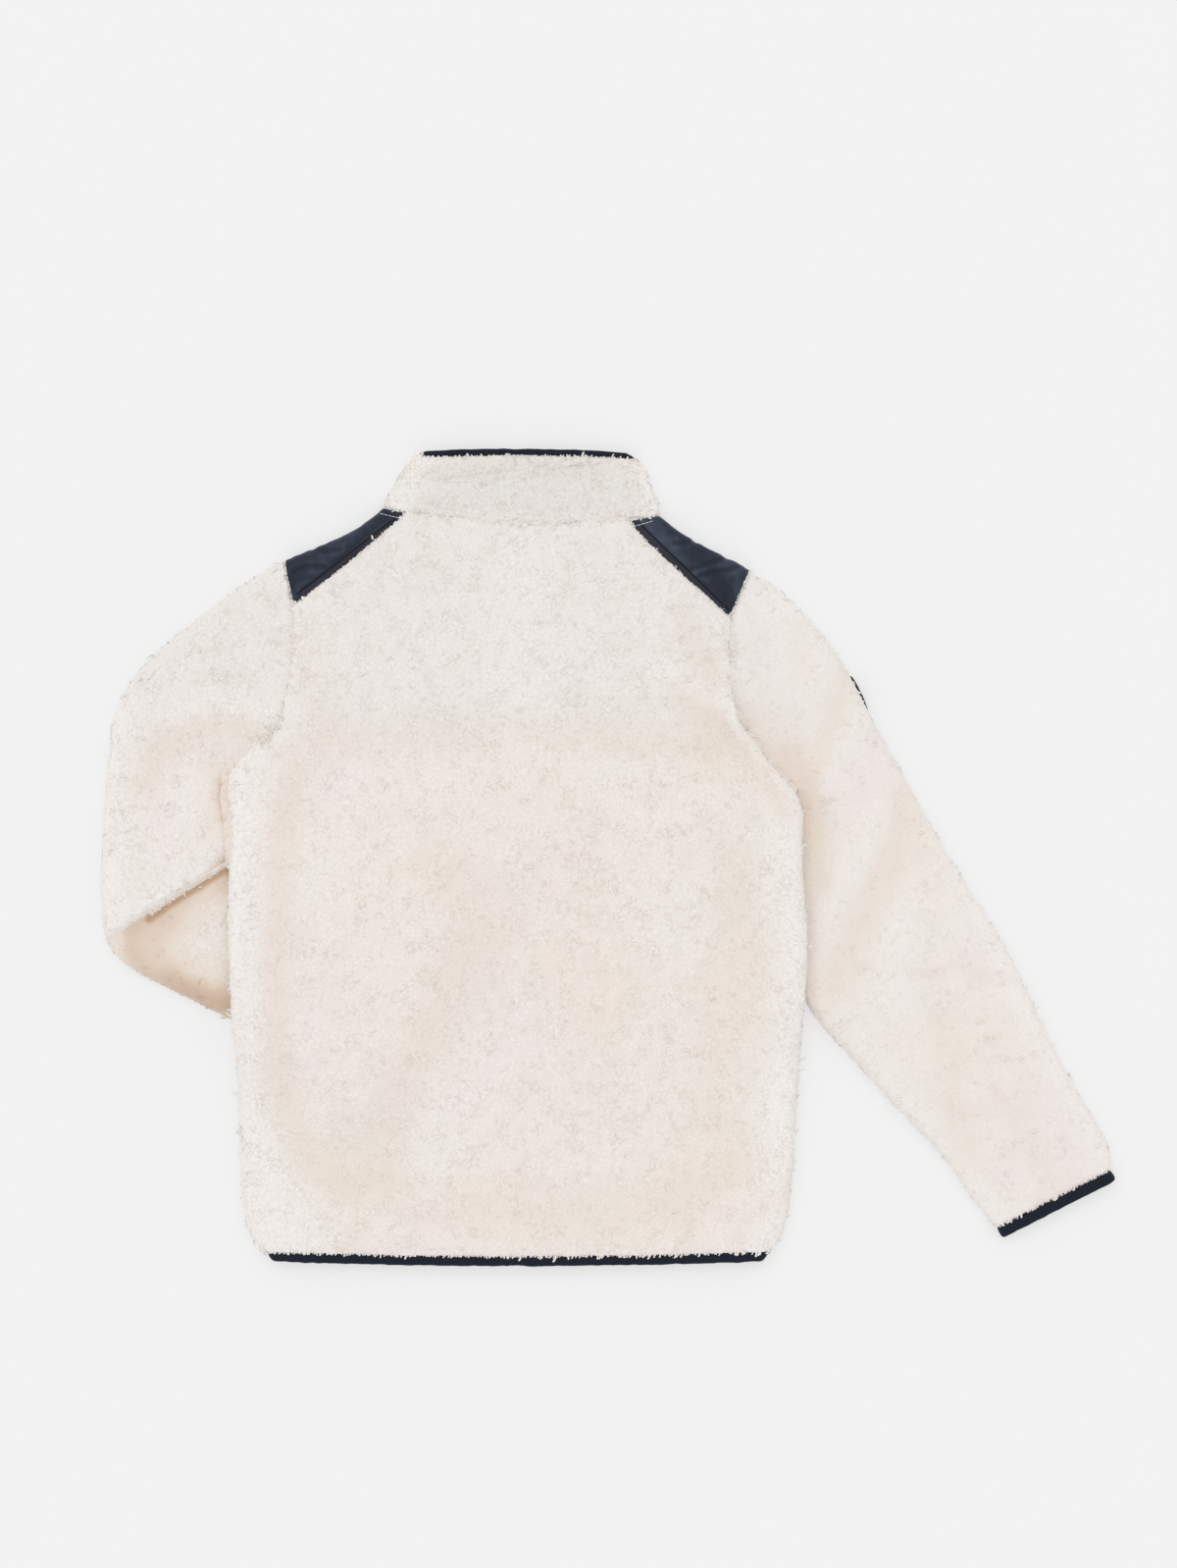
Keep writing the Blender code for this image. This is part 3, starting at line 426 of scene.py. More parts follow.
def photo(x, y):
    """From a place in the photograph to millimetres on the floor."""
    return (x - 620) * PIXEL - 0.07, (873.5 - y) * PIXEL + 0.38


def to_line(points, line):
    """The distance of each point from a line of millimetres, seen from above, in metres."""
    plan, line = points[:, :2], np.array(line) * MM
    nearest_yet = np.full(len(points), 1.0)
    for a, b in zip(line[:-1], line[1:]):
        along = np.clip((plan - a) @ (b - a) / max((b - a) @ (b - a), 1e-12), 0, 1)
        far = np.linalg.norm(plan - a - along[:, None] * (b - a), axis=1)
        nearest_yet = np.minimum(nearest_yet, far)
    return nearest_yet


# %% A finer copy of one node's wall
@contextlib.contextmanager
def editing(mesh):
    """A bmesh of the mesh, written back at the end."""
    work = bmesh.new()
    work.from_mesh(mesh)
    yield work
    work.to_mesh(mesh)
    work.free()


def linked(name, mesh):
    """A new object in the scene."""
    made = bpy.data.objects.new(name, mesh)
    bpy.context.scene.collection.objects.link(made)
    return made


def evaluated_mesh(made):
    """The plain mesh that an object's modifiers give."""
    return bpy.data.meshes.new_from_object(made.evaluated_get(bpy.context.evaluated_depsgraph_get()))


def finer_copy(node, name, longest):
    """A rounded copy of a wall, whose edges that show are cut down to each length in turn."""
    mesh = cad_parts[node].data.copy()
    with editing(mesh) as work:
        bmesh.ops.remove_doubles(work, verts=work.verts, dist=2e-5)
    made = linked(name, mesh)
    rounding = made.modifiers.new("Round the facets", "SUBSURF")
    rounding.levels = rounding.render_levels = 1
    mesh = evaluated_mesh(made)
    made.modifiers.remove(rounding)
    made.data = mesh
    mesh.name = name
    with editing(mesh) as work:
        bmesh.ops.triangulate(work, faces=work.faces)
        for length in longest:
            work.normal_update()
            faces = list(work.faces)
            middles = [f.calc_center_median() for f in faces]
            seen = exposure(middles, [f.normal for f in faces])
            shown = {f for f, m, s in zip(faces, middles, seen) if s > 0.3 and (m.z > 0.002 or f.normal.z > -0.6)}
            long = [e for e in work.edges if e.calc_length() > length and any(f in shown for f in e.link_faces)]
            bmesh.ops.subdivide_edges(work, edges=long, cuts=1, use_grid_fill=False)
            wide = [f for f in work.faces if len(f.verts) > 3]
            bmesh.ops.triangulate(work, faces=wide, quad_method="SHORT_EDGE")
        bmesh.ops.dissolve_degenerate(work, edges=work.edges, dist=3e-5)
        bmesh.ops.triangulate(work, faces=[f for f in work.faces if len(f.verts) > 3])
    mesh.materials.clear()
    set_coordinates(mesh, spread(coordinates(mesh), edges_of(mesh), 2))
    mesh.shade_smooth()
    print(name, len(mesh.polygons), "faces")
    return made


# %% [markdown]
# ## Raising the pile
# The skin is then moved along its normals by a height that is worked out from
# noise: cells of 5 mm for the curls, and a slow swell for how the pile has been
# brushed. Next to a seam the pile of both pieces stands up and meets, so the seam
# itself is out of sight, as on the real jacket. The smoothed surface also says where
# the cloth dips between folds, and that is kept as `shade`, with the hollows and the
# corners, for the painted shade. The rims that turn down and the ridges are kept as
# `rim`, for the painted light.

# %% The hollows and ridges of the folds
# A hollow is a line over the photograph, its half width and depth in mm, and how much
# painted warm shade it gets. A ridge has its half width and height in mm, and how much
# painted light it gets. The forearm of the bent sleeve lies under its upper arm, so
# some lines mark that only.
FOREARM = "forearm"
HOLLOWS = {
    "back": [
        ([(300, 792), (289, 860), (283, 950), (282, 1050), (290, 1130), (312, 1185), (350, 1212), (392, 1200)],
         12, 0.9, 0.46),
        ([(462, 897), (482, 943), (455, 1030), (415, 1097), (388, 1150)], 20, 0.9, 0.30),
        ([(345, 1190), (430, 1225), (560, 1240), (690, 1228), (752, 1195)], 22, 0.5, 0.34),
        ([(750, 880), (750, 950), (744, 1010), (738, 1090), (748, 1180)], 24, 0.6, 0.26),
        ([(300, 762), (400, 755), (520, 752), (640, 757), (745, 768)], 14, 0.6, 0.26),
        ([(690, 705), (735, 742), (775, 780), (800, 830)], 9, 0.5, 0.42),
        ([(700, 640), (722, 700), (728, 760)], 14, 0.3, 0.30),
        ([(310, 640), (318, 700), (330, 745)], 14, 0.3, 0.22),
        ([(540, 900), (600, 1000), (640, 1110)], 55, 0.0, 0.16),
        ([(750, 1262), (772, 1235), (803, 1216)], 8, 0.6, 0.35),
        ([(352, 1283), (360, 1262), (364, 1246)], 6, 0.6, 0.28)],
    "sleeve_right": [
        ([(806, 768), (822, 800), (834, 850), (838, 900)], 10, 0.6, 0.60),
        ([(925, 812), (907, 883), (872, 958), (850, 1010)], 13, 0.7, 0.42),
        ([(862, 690), (850, 735), (832, 790)], 10, 0.6, 0.42),
        ([(812, 640), (822, 690)], 12, 0.3, 0.28),
        ([(930, 994), (980, 986), (1030, 1003)], 5, 0.5, 0.22),
        ([(962, 1040), (972, 1110), (985, 1180)], 14, 0.4, 0.28),
        ([(1020, 1120), (1052, 1168), (1070, 1200)], 8, 0.4, 0.25)],
    "sleeve_left": [
        ([(146, 800), (160, 768), (184, 750), (222, 738), (250, 742)], 12, 0.8, 0.46),
        ([(213, 780), (222, 810), (216, 840)], 12, 0.4, 0.34),
        ([(228, 800), (224, 815), (228, 832)], 6, 0.0, 0.95, FOREARM),
        ([(243, 878), (219, 892), (200, 904), (174, 920), (152, 936)], 5, 0.0, 2.3, FOREARM),
        ([(146, 952), (158, 978)], 17, 0.0, 0.85, FOREARM),
        ([(240, 890), (219, 903), (196, 916), (172, 932), (150, 948)], 15, 0.0, 0.85, FOREARM),
        ([(166, 934), (148, 950), (141, 968), (154, 988), (184, 1007), (226, 1026)], 15, 0.4, 1.65, FOREARM),
        ([(180, 950), (160, 970), (190, 985), (232, 1008)], 20, 0.0, 0.40)],
    "collar": [([(425, 474), (535, 477), (645, 474)], 14, 0.5, 0.20),
               ([(430, 516), (520, 524), (640, 524)], 6, 0.5, 0.10)],
}
RIDGES = {
    "back": [
        ([(250, 800), (247, 900), (248, 1000), (255, 1100), (265, 1190), (276, 1262)], 20, 0.0, 1.00),
        ([(806, 850), (808, 950), (805, 1050), (798, 1150), (790, 1262)], 17, 0.0, 0.90),
        ([(790, 1130), (785, 1200), (775, 1255)], 26, 0.0, 0.60),
        ([(258, 1130), (285, 1200), (300, 1262)], 24, 0.0, 0.60),
        ([(452, 1097), (440, 1150), (440, 1217)], 16, 0.4, 0.45),
        ([(680, 683), (747, 730), (787, 783), (814, 823)], 9, 0.5, 0.80),
        ([(232, 792), (246, 770), (268, 752), (290, 745)], 10, 0.4, 0.80),
        ([(300, 590), (296, 660), (300, 720)], 12, 0.2, 0.50),
        ([(530, 577), (530, 660), (530, 750)], 26, 0.0, 0.45)],
    "sleeve_right": [
        ([(800, 625), (815, 655), (826, 690)], 16, 0.4, 0.90),
        ([(867, 743), (852, 775), (833, 803)], 9, 0.5, 0.70),
        ([(900, 830), (880, 880), (847, 923)], 10, 0.5, 0.75),
        ([(840, 870), (838, 930), (836, 990)], 9, 0.3, 0.70),
        ([(920, 923), (915, 980), (912, 1030)], 12, 0.3, 0.55),
        ([(800, 560), (870, 640), (925, 760), (985, 900), (1050, 1040), (1130, 1190)], 10, 0.0, 0.80),
        ([(850, 1020), (905, 1095), (960, 1170), (1015, 1240)], 10, 0.0, 0.60)],
    "sleeve_left": [
        ([(180, 730), (230, 722), (280, 728)], 11, 0.4, 0.75),
        ([(120, 720), (112, 800), (112, 880), (118, 930)], 14, 0.0, 0.90),
        ([(245, 862), (222, 878), (199, 893), (172, 910), (146, 930), (128, 944)], 7, 0.3, 1.00),
        ([(196, 800), (190, 850), (176, 890)], 16, 0.2, 0.50),
        ([(228, 935), (214, 962), (226, 990)], 13, 0.3, 0.90, FOREARM)],
    "collar": [([(434, 462), (418, 490), (404, 520)], 9, 0.0, 0.9),
               ([(640, 462), (658, 490), (674, 522)], 9, 0.0, 0.9)],
}


def near_line(points, line, wide):
    """1 on a line over the photograph, falling off over its half width."""
    return np.exp(-(to_line(points, [photo(*p) for p in line]) / (wide * MM)) ** 2)


def lines_at(points, node):
    """How far each point is pressed in, and how much painted warm shade and painted ridge light it gets."""
    press, painted_warm_shade, painted_ridge_light = np.zeros((3, len(points)))
    on_forearm = np.clip((0.0180 - points[:, 2]) / 0.002, 0, 1)
    for line, wide, high, light, *only in RIDGES.get(node, []):
        near = near_line(points, line, wide) * (on_forearm if only else 1)
        press -= near * high * MM
        painted_ridge_light += (1 - np.clip(painted_ridge_light, 0, 1)) * near * light
    for line, wide, deep, tint, *only in HOLLOWS.get(node, []):
        near = near_line(points, line, wide)
        press += near * deep * MM
        painted_warm_shade += (1 - np.clip(painted_warm_shade, 0, 1)) * near * tint * (on_forearm if only else 1)
    return press, painted_warm_shade, painted_ridge_light


# %% How much of the sky a point sees
def shelter(points, normals, rays=9, reach=0.022):
    """0 in the open, towards 1 deep in a corner, by a few rays around the normal."""
    found = np.zeros(len(points))
    for i, (point, normal) in enumerate(zip(points, normals)):
        at, up = Vector(point), Vector(normal)
        side = up.orthogonal().normalized()
        across = up.cross(side)
        for k in range(rays):
            turn = 2 * math.pi * k / rays + i % 7
            way = up * 0.62 + (side * math.cos(turn) + across * math.sin(turn)) * 0.78  # 52 degrees off the normal
            hit = walls.ray_cast(at + up * 0.0012, way, reach)
            if hit[0] is not None and hit[1].dot(way) < 0:
                found[i] += (1 - hit[3] / reach) / rays
    return found


# %% Pile height at a point
def pile_height(point, cell=0.0050, swell=0.017):
    """The height inside a curl's cell, from 0 to 1, and the slow swell, from -1 to 1."""
    x = Vector(point)
    warp = noise.noise_vector(x / (cell * 1.7)) * 0.55
    near = noise.voronoi(x / cell + warp)[0]
    return min(1.0, (near[1] - near[0]) * 1.7), noise.noise(x / swell)


def nearest(tree, points, reach=0.02):
    """For each point the direction to the nearest wall of a tree, and how far it is."""
    ways, far = np.zeros((len(points), 3)), np.full(len(points), reach)
    for i, point in enumerate(points):
        hit = tree.find_nearest(Vector(point), reach)
        if hit[0] is not None:
            ways[i], far[i] = (hit[0] - Vector(point)).normalized(), hit[3]
    return ways, far


def raised(values, low, rise):
    """0 below the low value, 1 above it by the rise."""
    return np.clip((values - low) / rise, 0, 1)


CURL_HIGH, SWELL_HIGH, SINK = 0.0008, 0.0006, 0.0003
CRISP = {"sleeve_right": 0.45, "collar": 1.25}  # elsewhere 0.9
SEAM_REACH, BORDER_REACH = 0.0050, 0.0052  # from other fleece, and from navy cloth


def raise_pile(made, node):
    """Raises one skin's pile, leans it over its seams, presses its folds and stores what the colour needs."""
    mesh = made.data
    points, normals, edges = coordinates(mesh), normals_of(mesh), edges_of(mesh)
    height, facing_up, crisp = points[:, 2], np.clip(normals[:, 2], 0, 1), CRISP.get(node, 0.9)

    # What shows, and what lies next to other cloth.
    bare = exposure(points, normals)
    bare_near = widen(bare, edges, 2)
    to_cloth, gap = nearest(nodes_tree([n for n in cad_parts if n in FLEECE_NODES and n != node]), points)
    to_navy, edge_gap = nearest(navy_walls, points)
    top = (bare_near > 0.5) * raised(height, 0.003, 0.003)
    seam = np.clip((SEAM_REACH - gap) / 0.002, 0, 1) * top
    border = np.clip((BORDER_REACH - edge_gap) / 0.002, 0, 1) * top
    seen = raised(spread(bare, edges, 2), 0.15, 0.6) * raised(height, 0.0002, 0.0025)
    rise = np.maximum(seen, spread(seam, edges, 1))

    # The pile, and how far it leans over to meet its neighbours.
    cells, swell = np.array([pile_height(p) for p in points]).T
    lift = (cells * CURL_HIGH * crisp + swell * SWELL_HIGH - SINK) * rise
    meet = to_cloth * (seam * np.clip(gap * 0.5 + 0.0004, 0, 0.0026))[:, None]
    meet += to_navy * (border * np.clip(edge_gap - 0.0002, 0, 0.0022))[:, None]
    meet = spread(meet, edges, 1)

    # The folds, the dips that the wall has of itself, the corners, and the rim that turns down, which give the painted
    # shade and the painted rim light.
    press, painted_warm_shade, painted_ridge_light = lines_at(points, node)
    lift -= press * facing_up * (bare_near > 0.3)
    dip = spread(height, edges, 60) - height
    dip = np.clip(spread(dip, edges, 4) / 0.0016, 0, 1) * facing_up
    corner = spread(shelter(points, normals), edges, 3)
    turned = spread((1 - facing_up) * (height > 0.004), edges, 30)
    # Painted rim light where the cloth turns down, less in corners.
    rim = np.clip(turned * 1.2 - 0.05, 0, 1) * np.clip(1 - corner * 5, 0, 1)
    # Painted shade from the dips, the hollows and the corners.
    shade = 0.30 * dip + painted_warm_shade * np.clip(normals[:, 2] + 0.5, 0, 1) + 1.1 * np.clip(corner - 0.06, 0, 1)

    set_coordinates(mesh, points + normals * lift[:, None] + meet)
    store(mesh, depth=np.clip(cells * rise + (1 - rise) * 0.6, 0, 1), shade=np.clip(shade, 0, 2.2),
          rim=np.clip(rim * 0.5 + painted_ridge_light, 0, 1), crisp=np.full(len(points), crisp),
          seen=rise, border=border, toward=to_navy)
    mesh.materials.append(fleece)
    return made


# %% Skins of all the fleece pieces
skins = {}
for node, lengths in FLEECE_NODES.items():
    skins[node] = raise_pile(finer_copy(node, node + "_cloth", lengths), node)
    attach(skins[node], "jacket")
    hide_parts(node)

# %% [markdown]
# ## Pile that closes the seams
# Two fleece pieces are sewn with the seam inside, and their pile is then teased out
# over it. A narrow pad of pile bridges each seam, a little lower than the cloth on
# both sides, so the seam shows as a soft line, with painted shade along it, and never
# as a gap. The pads in the tucks carry painted warm shade.

# %% Pads of pile along the seams and in the deepest tucks
SEAMS = {"seam_left": [(-260, 79), (-251.6, 86.2), (-244.5, 94.9), (-240, 106.4), (-236.5, 120.4),
                       (-233.6, 135.4), (-231.7, 151.4), (-231.1, 168.4), (-231.4, 181.5)],
         "seam_right": [(99.5, 88), (96, 99.5), (92.6, 109.4), (90.5, 121.4), (89.3, 134.4),
                        (88.6, 148.4), (88.6, 161.9), (89.2, 172.5)],
         "seam_collar": [(-145, 254.2), (-138, 253.6), (-126, 252.0), (-114, 250.4), (-102, 249.0),
                         (-90, 248.0), (-78, 247.2), (-54, 246.4), (-30, 246.4), (-18, 247.0),
                         (-6, 247.8), (6, 248.6), (13, 249.2)]}  # in millimetres
TUCKS = {"tuck_left": [(262, 757), (252, 763), (238, 775), (230, 788), (228, 809), (231, 833), (233, 852), (234, 880)],
         "lip_left": [(236, 877), (219, 888), (200, 900), (174, 916), (152, 931)],
         "tuck_right": [(762, 746), (772, 753), (777, 768), (789, 783), (801, 794), (812, 806)]}  # in the photograph
# `line` paints shade along a seam's middle, and the warm amount paints tan shade over a whole tuck.
PAD_LOOKS = {"seam_left": {"bumpy": 0.4, "line": 0.75},
             "seam_right": {"bumpy": 0.4, "line": 0.75},
             "seam_collar": {"bumpy": 0.9, "line": 0.12},
             "tuck_left": {"wide": 3.6, "low": 0.6, "bumpy": 0.5, "painted_warm_shade": 0.30},
             "lip_left": {"wide": 2.4, "low": -0.5, "bumpy": 1.6, "painted_warm_shade": 0.02},
             "tuck_right": {"wide": 2.6, "low": 1.0, "bumpy": 0.4, "painted_warm_shade": 0.35}}
PAD_COLUMNS, PAD_STEP, PAD_THICK = 11, 1.3, 0.0028
HIGH, DOWN = 0.06, Vector((0, 0, -1))  # rays start this high over the jacket


def eased(row, times):
    """Smooths a row of numbers or points in place, except for its ends."""
    for _ in range(times):
        row[1:-1] = (row[:-2] + row[2:] + 2 * row[1:-1]) / 4
    return row


def seam_pad(name, course, bumpy, wide=5.2, low=0.5, painted_warm_shade=0.0, line=0.0):
    """A closed strip along a course, `wide` mm to each side, with its middle `low` mm under its sides."""
    tree = tree_of(skins.values())
    plan = np.array(course)
    run = np.concatenate([[0], np.cumsum(np.linalg.norm(np.diff(plan, axis=0), axis=1))])
    at = np.linspace(0, run[-1], int(run[-1] / PAD_STEP))
    middle = eased(np.stack([np.interp(at, run, plan[:, 0]), np.interp(at, run, plan[:, 1])], 1), 4)
    way = np.gradient(middle, axis=0)
    side = np.stack([-way[:, 1], way[:, 0]], 1) / np.linalg.norm(way, axis=1)[:, None]

    # The height of the cloth along both sides.
    side_heights = []
    for sign in (-1, 1):
        row = []
        for m, n in zip(middle, side):
            x, y = (m + n * sign * (wide + 0.8)) * MM
            hit = tree.ray_cast(Vector((x, y, HIGH)), DOWN)
            row.append(hit[0].z if hit[0] is not None else 0.012)
        side_heights.append(eased(np.array(row), 6))

    # The upper face, row by row, with pile on it, and the lower face under it.
    across = np.linspace(-1, 1, PAD_COLUMNS)
    rows = []
    for i, (m, n) in enumerate(zip(middle, side)):
        swell = noise.noise(Vector((m[0] / 7, m[1] / 7, 5.0))) * bumpy
        for a in across:
            z = side_heights[0][i] * (1 - a) / 2 + side_heights[1][i] * (1 + a) / 2
            z += (-low * (1 - a * a) + swell * (1 - a * a) - 1.44 * abs(a) ** 5) * MM
            x, y = (m + n * a * wide) * MM
            cells, swelling = pile_height((x, y, z), 0.0036)
            rows.append((x, y, z + (cells * 0.9 - 0.3 + swelling * 0.3) * MM))
    top, count, columns = np.array(rows), len(middle), PAD_COLUMNS
    under = top - np.array([0, 0, PAD_THICK])
    faces = []
    for i in range(count - 1):
        for j in range(columns - 1):
            a = i * columns + j
            faces.append((a, a + 1, a + columns + 1, a + columns))
            b = a + count * columns
            faces.append((b, b + columns, b + columns + 1, b + 1))
    border = [i * columns for i in range(count)] + [(count - 1) * columns + j for j in range(1, columns)]
    border += [i * columns + columns - 1 for i in range(count - 2, -1, -1)] + list(range(columns - 2, 0, -1))
    for a, b in zip(border, border[1:] + border[:1]):
        faces.append((a, b, b + count * columns, a + count * columns))

    mesh = bpy.data.meshes.new(name)
    mesh.from_pydata([tuple(p) for p in np.concatenate([top, under])], [], faces)
    with editing(mesh) as work:
        bmesh.ops.recalc_face_normals(work, faces=work.faces)
    mesh.shade_smooth()
    total = len(mesh.vertices)
    inner = np.tile(1 - np.abs(np.tile(across, count)), 2)
    # The pads get painted shade: a little all over, more towards the middle, the seam line and the warm shade.
    store(mesh, depth=np.full(total, 0.55), shade=0.08 + 0.10 * inner + line * inner ** 12 + painted_warm_shade,
          rim=np.zeros(total), crisp=np.full(total, 0.9),
          seen=np.ones(total), border=np.zeros(total), toward=np.zeros((total, 3)))
    mesh.materials.append(fleece)
    made = linked(name, mesh)
    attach(made, "jacket")
    print(name, len(mesh.polygons), "faces")
    return made


courses = {**SEAMS, **{name: [photo(*p) for p in places] for name, places in TUCKS.items()}}
pads = {name: seam_pad(name, course, **PAD_LOOKS[name]) for name, course in courses.items()}
skins.update(pads)

# %% [markdown]
# ## Curls that stand out of the pile
# Raised cloth alone has a clean outline. Real pile has loose curls that break the
# outline and lap over every navy edge. Geometry Nodes scatter them: points on the
# cloth that keep a distance from each other, and on each a little arc with a thin
# four-sided section. Near an edge the curls lean across it.

# %% What the three scattering trees share
def geometry_tree(name, result, **inputs):
    """A geometry tree's graph, and its inputs as wires."""
    tree = bpy.data.node_groups.new(name, "GeometryNodeTree")
    for label, kind in inputs.items():
        tree.interface.new_socket(label, in_out="INPUT", socket_type="NodeSocket" + kind)
    tree.interface.new_socket(result, in_out="OUTPUT", socket_type="NodeSocketGeometry")
    g = Graph(tree)
    return g, {s.name: Wire(g, s) for s in tree.nodes.new("NodeGroupInput").outputs if s.name}


def spots_along(g, take):
    """Points a step apart along the line."""
    spots = g.tree.nodes.new("GeometryNodeCurveToPoints")
    spots.mode = "LENGTH"
    g.plug(spots, Curve=g.add("GeometryNodeMeshToCurve", None, take["Line"]), Length=take["Step"])
    return Wire(g, spots.outputs["Points"]), Wire(g, spots.outputs["Tangent"])


def thin_tube(g, path, sides, thickness, length):
    """A capped tube along a path of unit length. It is scaled to its length later, so its section is divided by it."""
    section = g.add("GeometryNodeCurvePrimitiveCircle", None, sides)
    g.plug(section.socket.node, Radius=thickness / length)
    tube = g.tree.nodes.new("GeometryNodeCurveToMesh")
    g.plug(tube, Curve=path, Profile_Curve=section, Fill_Caps=True)
    return Wire(g, tube.outputs[0])


def put_copies(g, take, flat=False, **placing):
    """Sets a copy on each point, makes the copies real and gives them the material."""
    put = g.tree.nodes.new("GeometryNodeInstanceOnPoints")
    g.plug(put, **placing)
    copies = g.add("GeometryNodeRealizeInstances", None, Wire(g, put.outputs[0]))
    if flat:
        copies = g.add("GeometryNodeSetShadeSmooth", None, Geometry=copies, Shade_Smooth=False)
    done = g.add("GeometryNodeSetMaterial", None, Geometry=copies, Material=take["Material"])
    g.tree.links.new(done.socket, g.tree.nodes.new("NodeGroupOutput").inputs[0])
    return g.tree


# %% The tree that scatters curls over a cloth
def curl_tree(name):
    g, take = geometry_tree(name, "Curls", Cloth="Geometry", Spacing="Float", Length="Float",
                            Thickness="Float", Material="Material")
    where = g.add("GeometryNodeInputNamedAttribute", {"data_type": "FLOAT"}, "where")
    lean = g.add("GeometryNodeInputNamedAttribute", {"data_type": "FLOAT_VECTOR"}, "lean")
    spots = g.tree.nodes.new("GeometryNodeDistributePointsOnFaces")
    spots.distribute_method = "POISSON"
    g.plug(spots, Mesh=take["Cloth"], Distance_Min=take["Spacing"], Density_Factor=where, Density_Max=4e5, Seed=7)
    points, normal = Wire(g, spots.outputs["Points"]), Wire(g, spots.outputs["Normal"])
    any_way = g.add("FunctionNodeRandomValue", {"data_type": "FLOAT_VECTOR"}, (-1, -1, -1), (1, 1, 1), Seed=3)
    way = g.add("ShaderNodeVectorMath", {"operation": "MULTIPLY_ADD"}, any_way, (0.55, 0.55, 0.3), lean)
    up = g.add("ShaderNodeVectorMath", {"operation": "MULTIPLY_ADD"}, any_way, (0.25, 0.25, 0.0), normal)
    upright = g.add("FunctionNodeAlignRotationToVector", {"axis": "Z"}, Vector=up)
    turned = g.add("FunctionNodeAlignRotationToVector", {"axis": "X", "pivot_axis": "Z"}, Rotation=upright, Vector=way)
    arc = g.add("GeometryNodeCurveQuadraticBezier", None, 4, (0, 0, -0.22), (0.45, 0.46, 0.26), (1.0, 0.0, -0.18))
    curl = thin_tube(g, arc, 4, take["Thickness"], take["Length"])
    vary = g.add("FunctionNodeRandomValue", {"data_type": "FLOAT"}, None, None, 0.6, 1.25, Seed=11, output=1)
    lying = g.add("ShaderNodeVectorMath", {"operation": "SCALE"}, (1.0, 1.0, 0.4), Scale=vary * take["Length"])
    return put_copies(g, take, flat=True, Points=points, Instance=curl, Rotation=turned, Scale=lying)


curls = curl_tree("Scatter curls")


# %% Running a tree on a piece, and keeping only the plain mesh
def grow(tree, source, name, slot="fleece", **values):
    holder = linked(name, source.data)
    growth = holder.modifiers.new("Grow", "NODES")
    growth.node_group = tree
    for item in tree.interface.items_tree:
        if item.in_out == "INPUT" and item.name in values:
            growth[item.identifier] = values[item.name]
    mesh = evaluated_mesh(holder)
    holder.modifiers.remove(growth)
    holder.data = mesh
    mesh.name = name
    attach(holder, "jacket")
    print(name, len(mesh.polygons), "faces,", sum(len(p.vertices) - 2 for p in mesh.polygons), "triangles")
    return holder


# %% No curl goes below the floor
CURL_POINTS = 20  # five rings of four points


def rest_on_floor(made, least=0.0002):
    """Raises each curl that would go through the floor until it lies on it."""
    points = coordinates(made.data).reshape(-1, CURL_POINTS, 3)
    points[:, :, 2] += np.clip(least - points[:, :, 2].min(axis=1), 0, None)[:, None]
    set_coordinates(made.data, points.reshape(-1, 3))
    return made


# %% Curls all over, then shorter ones close together over the navy edges and round the rims
SPACING = {"back": 0.0053, "sleeve_right": 0.0048, "sleeve_left": 0.0048, "collar": 0.0040,
           "front_left": 0.0070, "front_right": 0.0070,
           "seam_left": 0.0024, "seam_right": 0.0024, "seam_collar": 0.0024,
           "tuck_left": 0.0024, "tuck_right": 0.0024, "lip_left": 0.0016}
CURL, EDGE_CURL, RIM_CURL = (0.0056, 0.00062), (0.0036, 0.00056), (0.0042, 0.00056)  # length and thickness
EDGE_SPACING, RIM_SPACING = 0.00095, 0.0025
pile = {}


def curls_on(node, kind, spacing, size):
    length, thickness = size
    return rest_on_floor(grow(curls, skins[node], f"{node}_{kind}", Spacing=spacing, Length=length,
                              Thickness=thickness, Material=fleece))


for node, spacing in SPACING.items():
    mesh = skins[node].data
    points, normals = coordinates(mesh), normals_of(mesh)
    seen, border = stored(mesh, "seen"), np.clip(stored(mesh, "border"), 0, 1)
    swirl = np.array([noise.noise_vector(Vector(p) / 0.03) for p in points]) * 1.4
    rim = np.clip(1.15 - np.abs(normals[:, 2] - 0.25) / 0.45, 0, 1) * seen * (points[:, 2] > 0.003)
    over = stored(mesh, "toward", 3) * [1, 1, 0]
    over /= np.maximum(np.linalg.norm(over, axis=1), 1e-6)[:, None]
    at_rim, at_edge = rim[:, None], border[:, None]
    lean = swirl * (1 - at_rim) + normals * [1, 1, 0.3] * at_rim * 1.6
    lean = lean * (1 - at_edge) + over * at_edge * 2.6
    store(mesh, where=seen ** 2, lean=lean)
    pile[node] = [curls_on(node, "curls", spacing, CURL)]
    if node in pads:
        continue
    if border.max() > 0.5:
        store(mesh, where=border * (points[:, 2] > 0.004) * np.clip(normals[:, 2] * 2.5, 0, 1))
        pile[node].append(curls_on(node, "edge_curls", EDGE_SPACING, EDGE_CURL))
    store(mesh, where=rim)
    pile[node].append(curls_on(node, "rim_curls", RIM_SPACING, RIM_CURL))

# %% [markdown]
# ## The navy shoulder pieces, strips and bindings
# They are thin cloth, so their copies are cut finer and given the small wrinkles that
# a firm weave takes where it is sewn to stretchy fleece: folds that fan out from the
# seam, and a few that are listed. The bindings pucker between their stitches.

